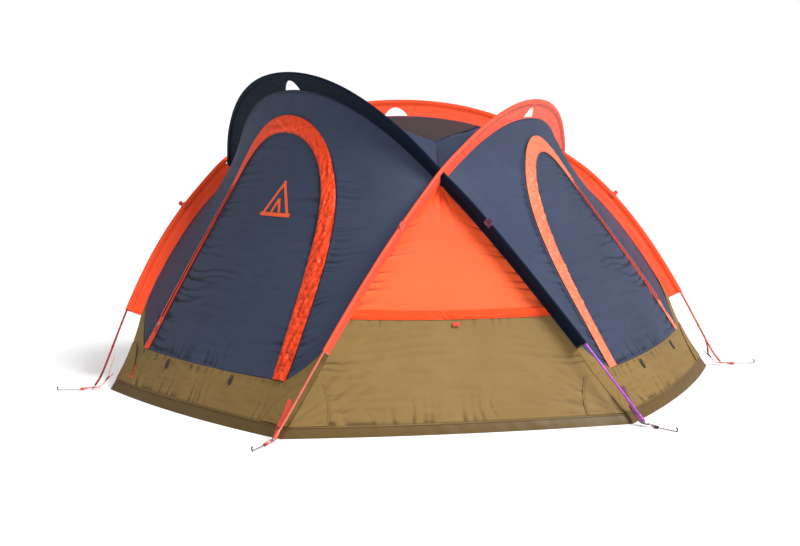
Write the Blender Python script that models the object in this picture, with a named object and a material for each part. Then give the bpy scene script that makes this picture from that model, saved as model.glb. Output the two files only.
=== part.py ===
"""Dome tent on three crossing poles, pitched and closed.

Metres, +Z up. The origin is on the ground under the middle of the floor, and
the front door faces -Y. Six pole feet stand on a regular hexagon. Three poles
arch between opposite feet, each in its own leaning plane, and run in sleeves
along the outer edges of fabric fins. The body hangs from the fins' inner
seams: three large faces (two doors and a plain wall), three narrow gussets
between them, a hollow roof, and a tub floor with a tan wall all round.
"""

from math import cos, radians, sin

import bpy
import numpy as np
from mathutils import Vector

# Driving dimensions.
FOOT_RADIUS = 1.340
CORNER_RADIUS = 1.245
BASE_BOW = 0.040
TUB_RISE = 0.040
FABRIC = 0.0015
GAP = 0.0005

# Poles: arches in leaning planes. Azimuth is the way the plane leans out, in
# degrees from +X. Height, shoulder and foot pull are in foot radii.
FRONT_POLE = {"azimuth": -90.0, "lean": 25.87, "height": 1.0527, "shoulder": 0.410, "pull": 0.810, "angle": 62.7}
SIDE_POLE = {"lean": 24.82, "height": 0.9433, "shoulder": 0.810, "pull": 0.1015, "angle": 29.95}
RIGHT_AZIMUTH = 30.0
LEFT_AZIMUTH = 150.0
POLE_RADIUS = 0.00425
POLE_TIP_LENGTH = 0.060
POLE_TIP_END = 0.008
CROSSING_LIFT = 0.0090
CROSSING_SPREAD = 0.110

# Fins and their sleeves.
FIN_DEPTH = 0.060
FIN_SWELL = 0.012
SLEEVE_INNER = 0.0047
SLEEVE_OUTER = 0.0058
HEM_FROM_FOOT = 0.372
NOTCH_HALF = 0.013
VENT_HALF_WIDTH = 0.056
VENT_HEIGHT = 0.042

# Where the seams of two arches meet, as shares of each arch's length.
SEAM_CROSSINGS = {
    ("front", "right"): (0.7172, 0.2945),
    ("front", "left"): (0.2828, 0.7055),
    ("right", "left"): (0.7009, 0.2991),
}
POLE_CROSSINGS = {
    ("front", "right"): (0.7131, 0.2954),
    ("front", "left"): (0.2869, 0.7046),
    ("right", "left"): (0.6999, 0.3001),
}
# The arch named second passes over the first, except that right is over left.
OVER = {("front", "right"): "right", ("front", "left"): "left", ("right", "left"): "right"}

# Doors, in a face's own coordinates: metres across from its middle, and height.
# Each outline is its half width at the sill, its top height, how far the side
# leans in over how much rise, and how far out the top stays level.
SILL_HEIGHT = 0.176
DOOR_HALF_WIDTH = 0.456
DOOR_OUTLINES = {
    "front": (DOOR_HALF_WIDTH, 1.044, 0.081, 0.513, 0.314),
    "right": (DOOR_HALF_WIDTH, 0.945, 0.052, 0.290, 0.257),
}
BAND_OUTLINES = {
    "front": (0.522, 1.102, 0.0135, 0.317, 0.390),
    "right": (0.508, 0.999, 0.042, 0.4275, 0.274),
}
BAND_NARROW = 0.024
DOOR_CLEARANCE = 0.0020
DOOR_OPEN_DEG = 118.0

# Tan walls: height share of the edge with the faces and the gussets.
WALL_HEIGHT = 0.1745
WALL_TOP = 0.166
WALL_CORNER_RISE = 0.14
WALL_CORNER_SHARE = 0.20
CORNER_COLUMNS = (0.002, 0.02, 0.05, 0.10)
TUB_SHARE = 0.038
GUSSET_SEAM = 0.440
GUSSET_TOP = 0.965
FACE_TOP = 0.9975
SEAM_INSET = 0.0022

# Small parts.
STRAP_WIDTH = 0.020
STRAP_THICKNESS = 0.0016
EYELET_RADIUS = 0.0060
STAKE_RADIUS = 0.0022
STAKE_HEIGHT = 0.0048
STAKE_START = 1.350
STAKE_END = 1.476
TAB_FROM_FOOT = 0.225
TOGGLE_ACROSS = 0.235
TOGGLE_LENGTH = 0.038
SLIDER_HEIGHT = 0.270

GRID = 33
NAVY = (0.030, 0.045, 0.085)
TAN = (0.300, 0.205, 0.085)
ORANGE = (0.900, 0.110, 0.030)
MATERIALS = {
    "navy_fabric": (NAVY, 0.6, 0.0),
    "tan_fabric": (TAN, 0.6, 0.0),
    "orange_fabric": (ORANGE, 0.5, 0.0),
    "orange_band": ((0.95, 0.09, 0.02), 0.35, 0.0),
    "fin_navy": ((0.012, 0.022, 0.045), 0.6, 0.0),
    "fin_orange": ((0.95, 0.10, 0.05), 0.5, 0.0),
    "mesh": ((0.10, 0.075, 0.075), 0.8, 0.0),
    "pole_purple": ((0.42, 0.12, 0.50), 0.3, 0.9),
    "pole_red": ((0.50, 0.06, 0.04), 0.3, 0.9),
    "metal": ((0.60, 0.60, 0.62), 0.3, 1.0),
    "webbing_red": ((0.75, 0.06, 0.03), 0.7, 0.0),
    "webbing_plum": ((0.16, 0.01, 0.07), 0.7, 0.0),
    "black_plastic": ((0.02, 0.02, 0.025), 0.5, 0.0),
}


def clear_scene():
    for item in list(bpy.data.objects):
        bpy.data.objects.remove(item, do_unlink=True)


def make_materials():
    made = {}
    for name, (color, roughness, metallic) in MATERIALS.items():
        material = bpy.data.materials.new(name)
        material.use_nodes = True
        shader = material.node_tree.nodes["Principled BSDF"]
        shader.inputs["Base Color"].default_value = (*color, 1.0)
        shader.inputs["Roughness"].default_value = roughness
        shader.inputs["Metallic"].default_value = metallic
        made[name] = material
    return made


def signed_volume(points, faces):
    total = 0.0
    for face in faces:
        for i in range(1, len(face) - 1):
            total += np.dot(points[face[0]], np.cross(points[face[i]], points[face[i + 1]]))
    return total / 6.0


def add_solid(name, points, faces, material, origin=(0.0, 0.0, 0.0)):
    """A named object from world points, its origin where the part turns or slides."""
    points = np.asarray(points, float)
    if signed_volume(points, faces) < 0.0:
        faces = [tuple(reversed(face)) for face in faces]
    mesh = bpy.data.meshes.new(name)
    mesh.from_pydata((points - np.asarray(origin)).tolist(), [], faces)
    mesh.shade_smooth()
    mesh.set_sharp_from_angle(angle=radians(40))
    mesh.materials.append(material)
    item = bpy.data.objects.new(name, mesh)
    item.location = origin
    bpy.context.scene.collection.objects.link(item)
    return item


def direction(azimuth):
    return np.array([cos(radians(azimuth)), sin(radians(azimuth)), 0.0])


def across_axis(azimuth):
    """The way from left to right along a face, seen from outside."""
    return np.array([-sin(radians(azimuth)), cos(radians(azimuth)), 0.0])


def bezier(a, b, c, d, t):
    t = np.asarray(t)[:, None]
    return (1 - t) ** 3 * a + 3 * (1 - t) ** 2 * t * b + 3 * (1 - t) * t**2 * c + t**3 * d


def spaced(curve, count):
    """The curve's points again, evenly spaced along its length."""
    steps = np.linalg.norm(np.diff(curve, axis=0), axis=1)
    run = np.concatenate([[0.0], np.cumsum(steps)])
    even = np.linspace(0.0, run[-1], count)
    return np.stack([np.interp(even, run, curve[:, k]) for k in range(curve.shape[1])], axis=-1)


class Arch:
    """One pole's planar arch, read by share of its length from its left foot."""

    def __init__(self, name, azimuth, lean, height, shoulder, pull, angle):
        self.name = name
        self.azimuth = azimuth
        self.outward = direction(azimuth)
        self.along = across_axis(azimuth)
        self.up = cos(radians(lean)) * np.array([0.0, 0.0, 1.0]) + sin(radians(lean)) * self.outward
        self.normal = np.cross(self.along, self.up)
        foot = np.array([1.0, 0.0])
        near_foot = foot + pull * np.array([-cos(radians(angle)), sin(radians(angle))])
        half = bezier(
            np.array([0.0, height]), np.array([shoulder, height]), near_foot, foot, np.linspace(0, 1, 801)
        )
        left = half[:0:-1] * np.array([-1.0, 1.0])
        flat = spaced(np.vstack([left, half]) * FOOT_RADIUS, 1201)
        tangent = np.gradient(flat, axis=0)
        tangent /= np.linalg.norm(tangent, axis=1)[:, None]
        self.length = np.linalg.norm(np.diff(flat, axis=0), axis=1).sum()
        self.share = np.linspace(0.0, 1.0, len(flat))
        self.points = flat[:, :1] * self.along + flat[:, 1:] * self.up
        self.inward = tangent[:, 1:] * self.along - tangent[:, :1] * self.up
        self.lifts = [
            (shares[pair.index(name)], CROSSING_LIFT if OVER[pair] == name else -CROSSING_LIFT)
            for pair, shares in POLE_CROSSINGS.items()
            if name in pair
        ]

    def read(self, table, s):
        return np.stack([np.interp(s, self.share, table[:, k]) for k in range(3)], axis=-1)

    def seam_depth(self, s):
        return FIN_DEPTH + FIN_SWELL * np.sin(np.pi * s) ** 2

    def seam(self, s):
        """The line where the fin joins the body."""
        return self.read(self.points, s) + self.read(self.inward, s) * self.seam_depth(s)[:, None]

    def lift(self, s):
        total = np.zeros_like(s)
        for centre, amount in self.lifts:
            total += amount * np.exp(-(((s - centre) * self.length / CROSSING_SPREAD) ** 2))
        return total

    def axis(self, s):
        """The pole's centre line, which bends clear of the poles it crosses."""
        return self.read(self.points, s) - self.read(self.inward, s) * self.lift(s)[:, None]


ARCHES = {
    "front": Arch("front", **FRONT_POLE),
    "right": Arch("right", azimuth=RIGHT_AZIMUTH, **SIDE_POLE),
    "left": Arch("left", azimuth=LEFT_AZIMUTH, **SIDE_POLE),
}


def seam_share(name, other):
    for pair, shares in SEAM_CROSSINGS.items():
        if set(pair) == {name, other}:
            return shares[pair.index(name)]
    raise KeyError(name)


def seam_meeting(name, other):
    one = ARCHES[name].seam(np.array([seam_share(name, other)]))[0]
    two = ARCHES[other].seam(np.array([seam_share(other, name)]))[0]
    return (one + two) / 2


def leg_edge(name, side, other):
    """A body edge from a floor corner up the leg of an arch to its crossing. Side is 0 at the left foot."""
    arch = ARCHES[name]
    start = HEM_FROM_FOOT / arch.length
    s = np.linspace(start if side == 0 else 1 - start, seam_share(name, other), 200)
    curve = arch.seam(s)
    ease = np.linspace(0.0, 1.0, 200)[:, None] ** 6
    curve = curve + ease * (seam_meeting(name, other) - curve[-1])
    corner = direction(arch.azimuth + (90.0 if side else -90.0)) * CORNER_RADIUS
    rise = corner + np.linspace(0.0, 1.0, 60)[:, None] * (curve[0] - corner)
    return spaced(np.vstack([rise[:-1], curve]), GRID)


def base_edge(from_azimuth, to_azimuth):
    start = direction(from_azimuth) * CORNER_RADIUS
    end = direction(to_azimuth) * CORNER_RADIUS
    t = np.linspace(0.0, 1.0, GRID)[:, None]
    out = (start + end) / np.linalg.norm(start + end)
    return start + t * (end - start) + 4 * t * (1 - t) * BASE_BOW * out


def top_edge(name, start, end):
    s = np.sort([seam_share(name, other) for other in ARCHES if other != name])
    curve = ARCHES[name].seam(np.linspace(s[0], s[1], 200))
    t = np.linspace(0.0, 1.0, 200)[:, None]
    return spaced(curve + (1 - t) ** 8 * (start - curve[0]) + t**8 * (end - curve[-1]), GRID)


def taut(bottom, top, left, right):
    """A grid of points, rows from bottom to top, pulled smooth between four edges."""
    u = np.linspace(0.0, 1.0, len(bottom))[None, :, None]
    v = np.linspace(0.0, 1.0, len(left))[:, None, None]
    grid = (1 - v) * bottom[None] + v * top[None] + (1 - u) * left[:, None] + u * right[:, None]
    grid = grid - (1 - u) * (1 - v) * bottom[0] - u * (1 - v) * bottom[-1]
    grid = grid - (1 - u) * v * top[0] - u * v * top[-1]
    for _ in range(400):
        grid[1:-1, 1:-1] = (grid[:-2, 1:-1] + grid[2:, 1:-1] + grid[1:-1, :-2] + grid[1:-1, 2:]) / 4
    return grid


class Face:
    """A body face between two legs, read by shares across (u) and up (v)."""

    def __init__(self, azimuth, left_leg, right_leg, top=None):
        self.azimuth = azimuth
        self.across = across_axis(azimuth)
        self.out = direction(azimuth)
        bottom = base_edge(azimuth - 30.0, azimuth + 30.0)
        if top is None:
            top = np.repeat(left_leg[-1:], GRID, axis=0)
        self.grid = taut(bottom, top, left_leg, right_leg)

    def at(self, u, v):
        u, v = np.broadcast_arrays(np.asarray(u, float), np.asarray(v, float))
        x = np.clip(u, 0.0, 1.0) * (GRID - 1)
        y = np.clip(v, 0.0, 1.0) * (GRID - 1)
        i = np.minimum(x.astype(int), GRID - 2)
        j = np.minimum(y.astype(int), GRID - 2)
        a = (x - i)[..., None]
        b = (y - j)[..., None]
        low = self.grid[j, i] * (1 - a) + self.grid[j, i + 1] * a
        high = self.grid[j + 1, i] * (1 - a) + self.grid[j + 1, i + 1] * a
        return low * (1 - b) + high * b

    def locate(self, across, height):
        """The shares (u, v) of the point at this distance across and this height."""
        across, height = np.broadcast_arrays(np.asarray(across, float), np.asarray(height, float))
        u = 0.5 + across / 1.4
        v = height / 1.2
        for _ in range(60):
            point = self.at(u, v)
            width = (self.at(np.ones_like(v), v) - self.at(np.zeros_like(v), v)) @ self.across
            u = np.clip(u + 0.8 * (across - point @ self.across) / width, 0.0, 1.0)
            v = np.clip(v + 0.8 * (height - point[..., 2]) / 1.15, 0.0, 1.0)
        return u, v


def big_face(name, left, right):
    left_leg = leg_edge(left, 1, name)
    right_leg = leg_edge(right, 0, name)
    top = top_edge(name, left_leg[-1], right_leg[-1])
    return Face(ARCHES[name].azimuth, left_leg, right_leg, top)


def gusset_face(azimuth, left, right):
    """The gusset whose left edge is the left foot leg of one arch, its right edge the right leg of another."""
    return Face(azimuth, leg_edge(left, 0, right), leg_edge(right, 1, left))


FACES = {
    "front": big_face("front", "left", "right"),
    "right": big_face("right", "front", "left"),
    "left": big_face("left", "right", "front"),
}
GUSSETS = {
    "right_front": gusset_face(-30.0, "right", "front"),
    "rear": gusset_face(90.0, "left", "right"),
    "left_front": gusset_face(210.0, "front", "left"),
}


def grid_normals(grid, wrap=False):
    if wrap:
        along = np.roll(grid, -1, axis=1) - np.roll(grid, 1, axis=1)
    else:
        along = np.gradient(grid, axis=1)
    normal = np.cross(along, np.gradient(grid, axis=0))
    return normal / np.linalg.norm(normal, axis=2)[..., None]


def sheet(name, grid, material, wrap=False, origin=(0.0, 0.0, 0.0), thickness=FABRIC):
    """A thin closed sheet around a grid of points, open at its sides or wrapped into a ring."""
    rows, columns = grid.shape[:2]
    offset = grid_normals(grid, wrap) * thickness / 2
    points = np.vstack([(grid + offset).reshape(-1, 3), (grid - offset).reshape(-1, 3)])
    back = rows * columns
    faces = []
    for row in range(rows - 1):
        for column in range(columns if wrap else columns - 1):
            a = row * columns + column
            b = row * columns + (column + 1) % columns
            c = b + columns
            d = a + columns
            faces += [(a, b, c), (a, c, d)]
            faces += [(back + c, back + b, back + a), (back + d, back + c, back + a)]
    rims = [[k for k in range(columns)], [(rows - 1) * columns + k for k in range(columns)][::-1]]
    if wrap:
        rims = [rim + rim[:1] for rim in rims]
    else:
        right = [k * columns + columns - 1 for k in range(rows)]
        left = [k * columns for k in range(rows)][::-1]
        rims = [rims[0], right, rims[1], left]
    for rim in rims:
        for a, b in zip(rim, rim[1:]):
            faces.append((b, a, back + a, back + b))
    return add_solid(name, points, faces, material, origin)


def sweep(name, sections, material, origin=(0.0, 0.0, 0.0)):
    """A closed solid through a list of loops of points, with flat ends."""
    count = len(sections[0])
    points = np.vstack(sections)
    faces = []
    for k in range(len(sections) - 1):
        for i in range(count):
            a = k * count + i
            b = k * count + (i + 1) % count
            faces.append((a, b, b + count, a + count))
    faces.append(tuple(reversed(range(count))))
    last = (len(sections) - 1) * count
    faces.append(tuple(range(last, last + count)))
    return add_solid(name, points, faces, material, origin)


def circle(centre, side, up, radius, count):
    turn = 2 * np.pi * (np.arange(count) + 0.5) / count
    return centre + radius * (np.cos(turn)[:, None] * side + np.sin(turn)[:, None] * up)


def wall_top(face, u):
    """The edge of a large face's tan wall: level, with rounded corners that climb to the fins' hems."""
    v = WALL_TOP + 0.0 * u
    for _ in range(40):
        v = v + (WALL_HEIGHT - face.at(u, v)[..., 2]) / 1.15
    edge = np.clip((np.abs(2 * u - 1) - (1 - WALL_CORNER_SHARE)) / WALL_CORNER_SHARE, 0.0, 1.0)
    return v + WALL_CORNER_RISE * (1 - (1 - edge**2.6) ** (1 / 2.6))


def gusset_points(face, u, v):
    """Points of a gusset's grid, drawn in from both seams by the same distance in every row."""
    width = np.linalg.norm(face.at(np.ones_like(v), v) - face.at(np.zeros_like(v), v), axis=-1)
    inset = SEAM_INSET / np.maximum(width, SEAM_INSET * 4)
    return face.at(inset + u * (1 - 2 * inset), v)


def level(share):
    return lambda u: share + 0.0 * u


def face_columns():
    """Shares across a large face, closer together where the wall's corners climb."""
    left = np.array(CORNER_COLUMNS)
    return np.concatenate([left, np.linspace(0.1, 0.9, 12)[1:-1], 1 - left[::-1]])


def rows_between(low, high, across, rows):
    """Shares of a grid on a face between two height shares given as functions of u."""
    u = np.asarray(across)[None, :]
    t = np.linspace(0.0, 1.0, rows)[:, None]
    return np.broadcast_arrays(u, low(u) + t * (high(u) - low(u)))


def outline(shape, count):
    """Half of a door's arch shape, from its sill to its top, as (across, height)."""
    half_width, top, inset, rise, top_pull = shape
    return bezier(
        np.array([half_width, SILL_HEIGHT]),
        np.array([half_width - inset, SILL_HEIGHT + rise]),
        np.array([top_pull, top]),
        np.array([0.0, top]),
        np.linspace(0.0, 1.0, count),
    )


def door_edge(name, count):
    """The door opening from its left sill corner over the top to the right one."""
    right = outline(DOOR_OUTLINES[name], count)
    return np.vstack([right * [-1, 1], right[-2::-1]])


def band_edge(name, count, wide_side):
    """The band's outer edge: broad over the top and down one leg, narrow down the other."""
    broad = outline(BAND_OUTLINES[name], count)
    inner = outline(DOOR_OUTLINES[name], count)
    out = broad - inner
    reach = np.linalg.norm(out, axis=1)[:, None]
    full = np.clip((np.linspace(0.0, 1.0, count)[:, None] - 0.55) / 0.45, 0.0, 1.0)
    full = full * full * (3 - 2 * full)
    narrow = inner + out / reach * (BAND_NARROW + full * (reach - BAND_NARROW))
    narrow[0, 1] = SILL_HEIGHT
    left, right = (broad, narrow) if wide_side < 0 else (narrow, broad)
    return np.vstack([left * [-1, 1], right[-2::-1]])


def ring(face, inner, outer_uv, rows, gap):
    """A grid from an outline in (across, height) out to a line of shares, both left to right over the top."""
    u, v = face.locate(inner[:, 0], inner[:, 1])
    inner_uv = np.stack([u, v], axis=-1)
    step = (outer_uv - inner_uv) / np.linalg.norm(outer_uv - inner_uv, axis=1)[:, None]
    inner_uv = inner_uv + step * gap
    t = np.linspace(0.0, 1.0, rows)[:, None, None]
    return inner_uv[None] * (1 - t) + outer_uv[None] * t


def make_face_walls(materials):
    """The tan wall under each large face and gusset, and the orange and navy panels above."""
    for name, face in FACES.items():
        grid = rows_between(level(TUB_SHARE), lambda u: wall_top(face, u), face_columns(), 3)
        sheet(f"wall_{name}", face.at(*grid), materials["tan_fabric"])
    across = np.linspace(0.0, 1.0, 9)
    for name, face in GUSSETS.items():
        wall = rows_between(level(TUB_SHARE), level(GUSSET_SEAM), across, 5)
        sheet(f"wall_gusset_{name}", gusset_points(face, *wall), materials["tan_fabric"])
        panel = rows_between(level(GUSSET_SEAM + 2 * GAP), level(GUSSET_TOP), across, 8)
        sheet(f"gusset_{name}", gusset_points(face, *panel), materials["orange_fabric"])
    face = FACES["left"]
    grid = rows_between(lambda u: wall_top(face, u) + 2 * GAP, level(FACE_TOP), face_columns(), 11)
    sheet("plain_wall", face.at(*grid), materials["navy_fabric"])


def face_border(face, count, legs):
    """Shares along a large face's edge: up its left leg, over its top and down its right leg."""
    side = 0.0020
    low = float(wall_top(face, np.array([0.0]))[0]) + 2 * GAP
    leg = np.linspace(low, FACE_TOP, legs)
    top = np.linspace(side, 1 - side, count - 2 * legs + 2)
    left = np.stack([np.full(legs, side), leg], axis=-1)
    over = np.stack([top, np.full(len(top), FACE_TOP)], axis=-1)
    right = np.stack([np.full(legs, 1 - side), leg[::-1]], axis=-1)
    return np.vstack([left[:-1], over, right[1:]])


def hinge_axis(face):
    """A straight line just outside the lowest edge of the door: a point on it and its direction."""
    across = np.linspace(-DOOR_HALF_WIDTH, DOOR_HALF_WIDTH, 41)
    edge = face.at(*face.locate(across, SILL_HEIGHT))
    reach = (edge @ face.out).max()
    return reach * face.out + np.array([0.0, 0.0, SILL_HEIGHT])


def make_door_face(name, wide_side, materials):
    """The navy surround, the orange band round the opening, and the door that drops open."""
    face = FACES[name]
    half = 16
    opening = door_edge(name, half)
    band = band_edge(name, half, wide_side)
    border = face_border(face, len(band), 7)
    surround = ring(face, band, border, 4, 0.0012)
    foot_rows = np.linspace(0.0, 1.0, 4)
    for column, edge in ((0, 0.0), (-1, 1.0)):
        near = abs(edge - surround[0, column, 0])
        u = abs(edge - np.array([near, CORNER_COLUMNS[2], CORNER_COLUMNS[1], border[0, 0]]))
        surround[:, column] = np.stack([u, wall_top(face, u) + 2 * GAP], axis=-1)
    for k, weight in ((1, 0.5), (2, 0.2)):
        for column, end in ((k, 0), (-1 - k, -1)):
            shift = surround[:, end] - (surround[0, end] + (surround[-1, end] - surround[0, end]) * foot_rows[:, None])
            surround[:, column] += weight * shift
    grid = face.at(surround[..., 0], surround[..., 1])
    sheet(f"surround_{name}", grid, materials["navy_fabric"])

    across = np.stack([opening + (band - opening) * t for t in (0.0, 1.0)])
    u, v = face.locate(across[..., 0], np.maximum(across[..., 1], SILL_HEIGHT))
    centre = np.array([0.5, 0.5])
    shares = np.stack([u, v], axis=-1)
    away = shares[0] - centre
    shares[0] += away / np.linalg.norm(away, axis=1)[:, None] * 0.0004
    sheet(f"band_{name}", face.at(shares[..., 0], shares[..., 1]), materials["orange_band"])

    legs = outline(DOOR_OUTLINES[name], 40)
    rows = legs[[0, 4, 9, 14, 19, 24, 29, 33, 36]]
    x = np.linspace(-1.0, 1.0, 11)
    half_width = np.maximum(rows[:, :1] - DOOR_CLEARANCE, 0.02)
    height = rows[:, 1:] + 0.0 * x
    height[0] += DOOR_CLEARANCE / 2
    u, v = face.locate(half_width * x, height)
    origin = hinge_axis(face)
    sheet(f"door_{name}", face.at(u, v), materials["navy_fabric"], origin=origin)


def roof_loop(count):
    """The roof's edge: the three seams between the crossings, in turn, and the arch of each point."""
    parts = []
    for name, first, last in (("front", "left", "right"), ("right", "front", "left"), ("left", "right", "front")):
        start = seam_meeting(name, first)
        end = seam_meeting(name, last)
        curve = top_edge(name, start, end)
        parts.append(spaced(curve, count + 1)[:-1])
    return np.vstack(parts)


def make_roof(materials):
    """A soap-film roof between the three seams, with a mesh window against the left arch."""
    count = 16
    loop = roof_loop(count)
    waves = np.fft.fft(loop, axis=0)
    order = np.abs(np.fft.fftfreq(len(loop)) * len(loop))[:, None]
    shift = np.array([0.12, -0.08, 0.0])

    def rings(radii):
        rows = []
        for radius in radii:
            row = np.fft.ifft(waves * radius**order, axis=0).real
            rows.append(row + (1 - radius**2) * shift)
        return np.stack(rows)

    first, last = 2 * count + 4, 3 * count - 5
    radii = (0.9965, 0.86, 0.68, 0.46, 0.22, 0.03)
    grid = rings(radii)
    navy = np.concatenate([grid[:, last:], grid[:, : first + 1]], axis=1)
    sheet("roof", navy, materials["navy_fabric"])
    window = rings((0.9965, 0.86, 0.68, 0.46, 0.22, 0.07))[:, first : last + 1]
    window = spread_inside(window, 0.0015)
    sheet("roof_mesh", window, materials["mesh"])


def spread_inside(grid, gap):
    """The grid with its first and last columns moved in by the gap."""
    grid = grid.copy()
    for edge, inner in ((0, 1), (-1, -2)):
        step = grid[:, inner] - grid[:, edge]
        grid[:, edge] += step / np.linalg.norm(step, axis=1)[:, None] * gap
    return grid


def fin_stations(arch):
    """Shares along an arch: even steps, and extra ones at crossings, notches and the vent."""
    start = HEM_FROM_FOOT / arch.length
    marks = list(np.linspace(start, 1 - start, 27))
    extra = [0.5 + d / arch.length for d in (-VENT_HALF_WIDTH, -0.6 * VENT_HALF_WIDTH, 0.0,
                                             0.6 * VENT_HALF_WIDTH, VENT_HALF_WIDTH)]
    for centre, lift in arch.lifts:
        steps = [-0.06, 0.0, 0.06]
        if lift > 0:
            steps += [-NOTCH_HALF - 0.0006, -NOTCH_HALF, NOTCH_HALF, NOTCH_HALF + 0.0006]
        extra += [centre + d / arch.length for d in steps]
    clear = 0.018 / arch.length
    marks = [m for m in marks if m in (marks[0], marks[-1]) or min(abs(m - e) for e in extra) > clear]
    return np.array(sorted(marks + extra))


def web_depth(arch, s):
    """How far the fin reaches in from the arch line: to the seam, less at the vent and at notches."""
    depth = arch.seam_depth(s) - 0.0022
    from_top = np.abs(s - 0.5) * arch.length / VENT_HALF_WIDTH
    vent = VENT_HEIGHT * np.clip(1 - from_top**1.6, 0.0, 1.0)
    depth = depth - vent
    for centre, lift in arch.lifts:
        if lift > 0:
            inside = np.abs(s - centre) * arch.length < NOTCH_HALF + 0.0001
            depth = np.where(inside, SLEEVE_OUTER - CROSSING_LIFT + 0.0005, depth)
    return depth


def make_fin(name, material):
    """A square sleeve round the pole with a web hanging from it, as one hollow sweep."""
    arch = ARCHES[name]
    s = fin_stations(arch)
    inward = arch.read(arch.inward, s)
    line = arch.read(arch.points, s)
    axis = arch.axis(s)
    depth = web_depth(arch, s)
    half = FABRIC / 2
    side = arch.normal
    outer = [
        axis - inward * SLEEVE_OUTER - side * SLEEVE_OUTER,
        axis - inward * SLEEVE_OUTER + side * SLEEVE_OUTER,
        axis + inward * SLEEVE_OUTER + side * SLEEVE_OUTER,
        axis + inward * SLEEVE_OUTER + side * half,
        line + inward * depth[:, None] + side * half,
        line + inward * depth[:, None] - side * half,
        axis + inward * SLEEVE_OUTER - side * half,
        axis + inward * SLEEVE_OUTER - side * SLEEVE_OUTER,
    ]
    inner = [
        axis + inward * (a * SLEEVE_INNER) + side * (b * SLEEVE_INNER)
        for a, b in ((-1, -1), (-1, 1), (1, 1), (1, -1))
    ]
    stations = len(s)
    points = np.vstack([np.stack(outer, axis=1).reshape(-1, 3), np.stack(inner, axis=1).reshape(-1, 3)])
    faces = []
    for base, count, flip in ((0, 8, False), (stations * 8, 4, True)):
        for k in range(stations - 1):
            for i in range(count):
                a = base + k * count + i
                b = base + k * count + (i + 1) % count
                quad = (a, b, b + count, a + count)
                faces.append(tuple(reversed(quad)) if flip else quad)
    for k, flip in ((0, False), (stations - 1, True)):
        o = k * 8
        n = stations * 8 + k * 4
        cap = [
            (o + 0, n + 0, n + 1, o + 1),
            (o + 1, n + 1, n + 2, o + 2),
            (o + 2, n + 2, n + 3, o + 7, o + 6, o + 3),
            (o + 7, n + 3, n + 0, o + 0),
            (o + 3, o + 6, o + 5, o + 4),
        ]
        faces += [tuple(reversed(face)) for face in cap] if flip else cap
    add_solid(f"fin_{name}", points, faces, material)


def make_pole(name, material):
    arch = ARCHES[name]
    start = POLE_TIP_LENGTH / arch.length
    low = start * np.array([1.0, 2.7, 4.4])
    s = np.concatenate([low, fin_stations(arch), 1 - low[::-1]])
    inward = arch.read(arch.inward, s)
    axis = arch.axis(s)
    sections = [circle(axis[k], arch.normal, inward[k], POLE_RADIUS, 6) for k in range(len(s))]
    sweep(f"pole_{name}", sections, material)


def feet():
    """Each foot: its number, azimuth, arch and side of the arch."""
    found = []
    for name, arch in ARCHES.items():
        for side in (0, 1):
            found.append((arch.azimuth + (90.0 if side else -90.0), name, side))
    return [(k + 1, *foot) for k, foot in enumerate(sorted(found, key=lambda f: f[0] % 360.0))]


def foot_line(arch, side):
    """Where a pole ends and where its tip ends, on the arch."""
    shares = np.array([POLE_TIP_LENGTH - 0.0012, POLE_TIP_END]) / arch.length
    if side:
        shares = 1 - shares
    return arch.read(arch.points, shares)


def pin_at_strap(arch, side):
    """Where the pin's centre line passes through the strap."""
    top, end = foot_line(arch, side)
    return end + (top - end) * (STAKE_HEIGHT + 0.0050 - end[2]) / (top[2] - end[2])


def make_pole_tip(number, arch, side, material):
    top, end = foot_line(arch, side)
    length = np.linalg.norm(end - top)
    axis = (end - top) / length
    across = arch.normal
    up = np.cross(axis, across)
    profile = ((0.0, POLE_RADIUS), (0.022, POLE_RADIUS), (0.030, 0.0030), (length, 0.0026))
    sections = [circle(top + axis * z, across, up, radius, 8) for z, radius in profile]
    sweep(f"pole_tip_{number}", sections, material)


def box_points(centre, out, across, half_out, half_across, low, high):
    corners = []
    for z in (low, high):
        for a, b in ((-1, -1), (1, -1), (1, 1), (-1, 1)):
            corners.append(centre + out * (a * half_out) + across * (b * half_across) + np.array([0, 0, z]))
    return corners


BOX_FACES = [(0, 3, 2, 1), (4, 5, 6, 7), (0, 1, 5, 4), (1, 2, 6, 5), (2, 3, 7, 6), (3, 0, 4, 7)]


def cut(item, tool, operation):
    modifier = item.modifiers.new(operation.lower(), "BOOLEAN")
    modifier.operation = operation
    modifier.object = tool
    modifier.solver = "EXACT"
    tool.hide_render = True
    tool.display_type = "WIRE"


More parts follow.
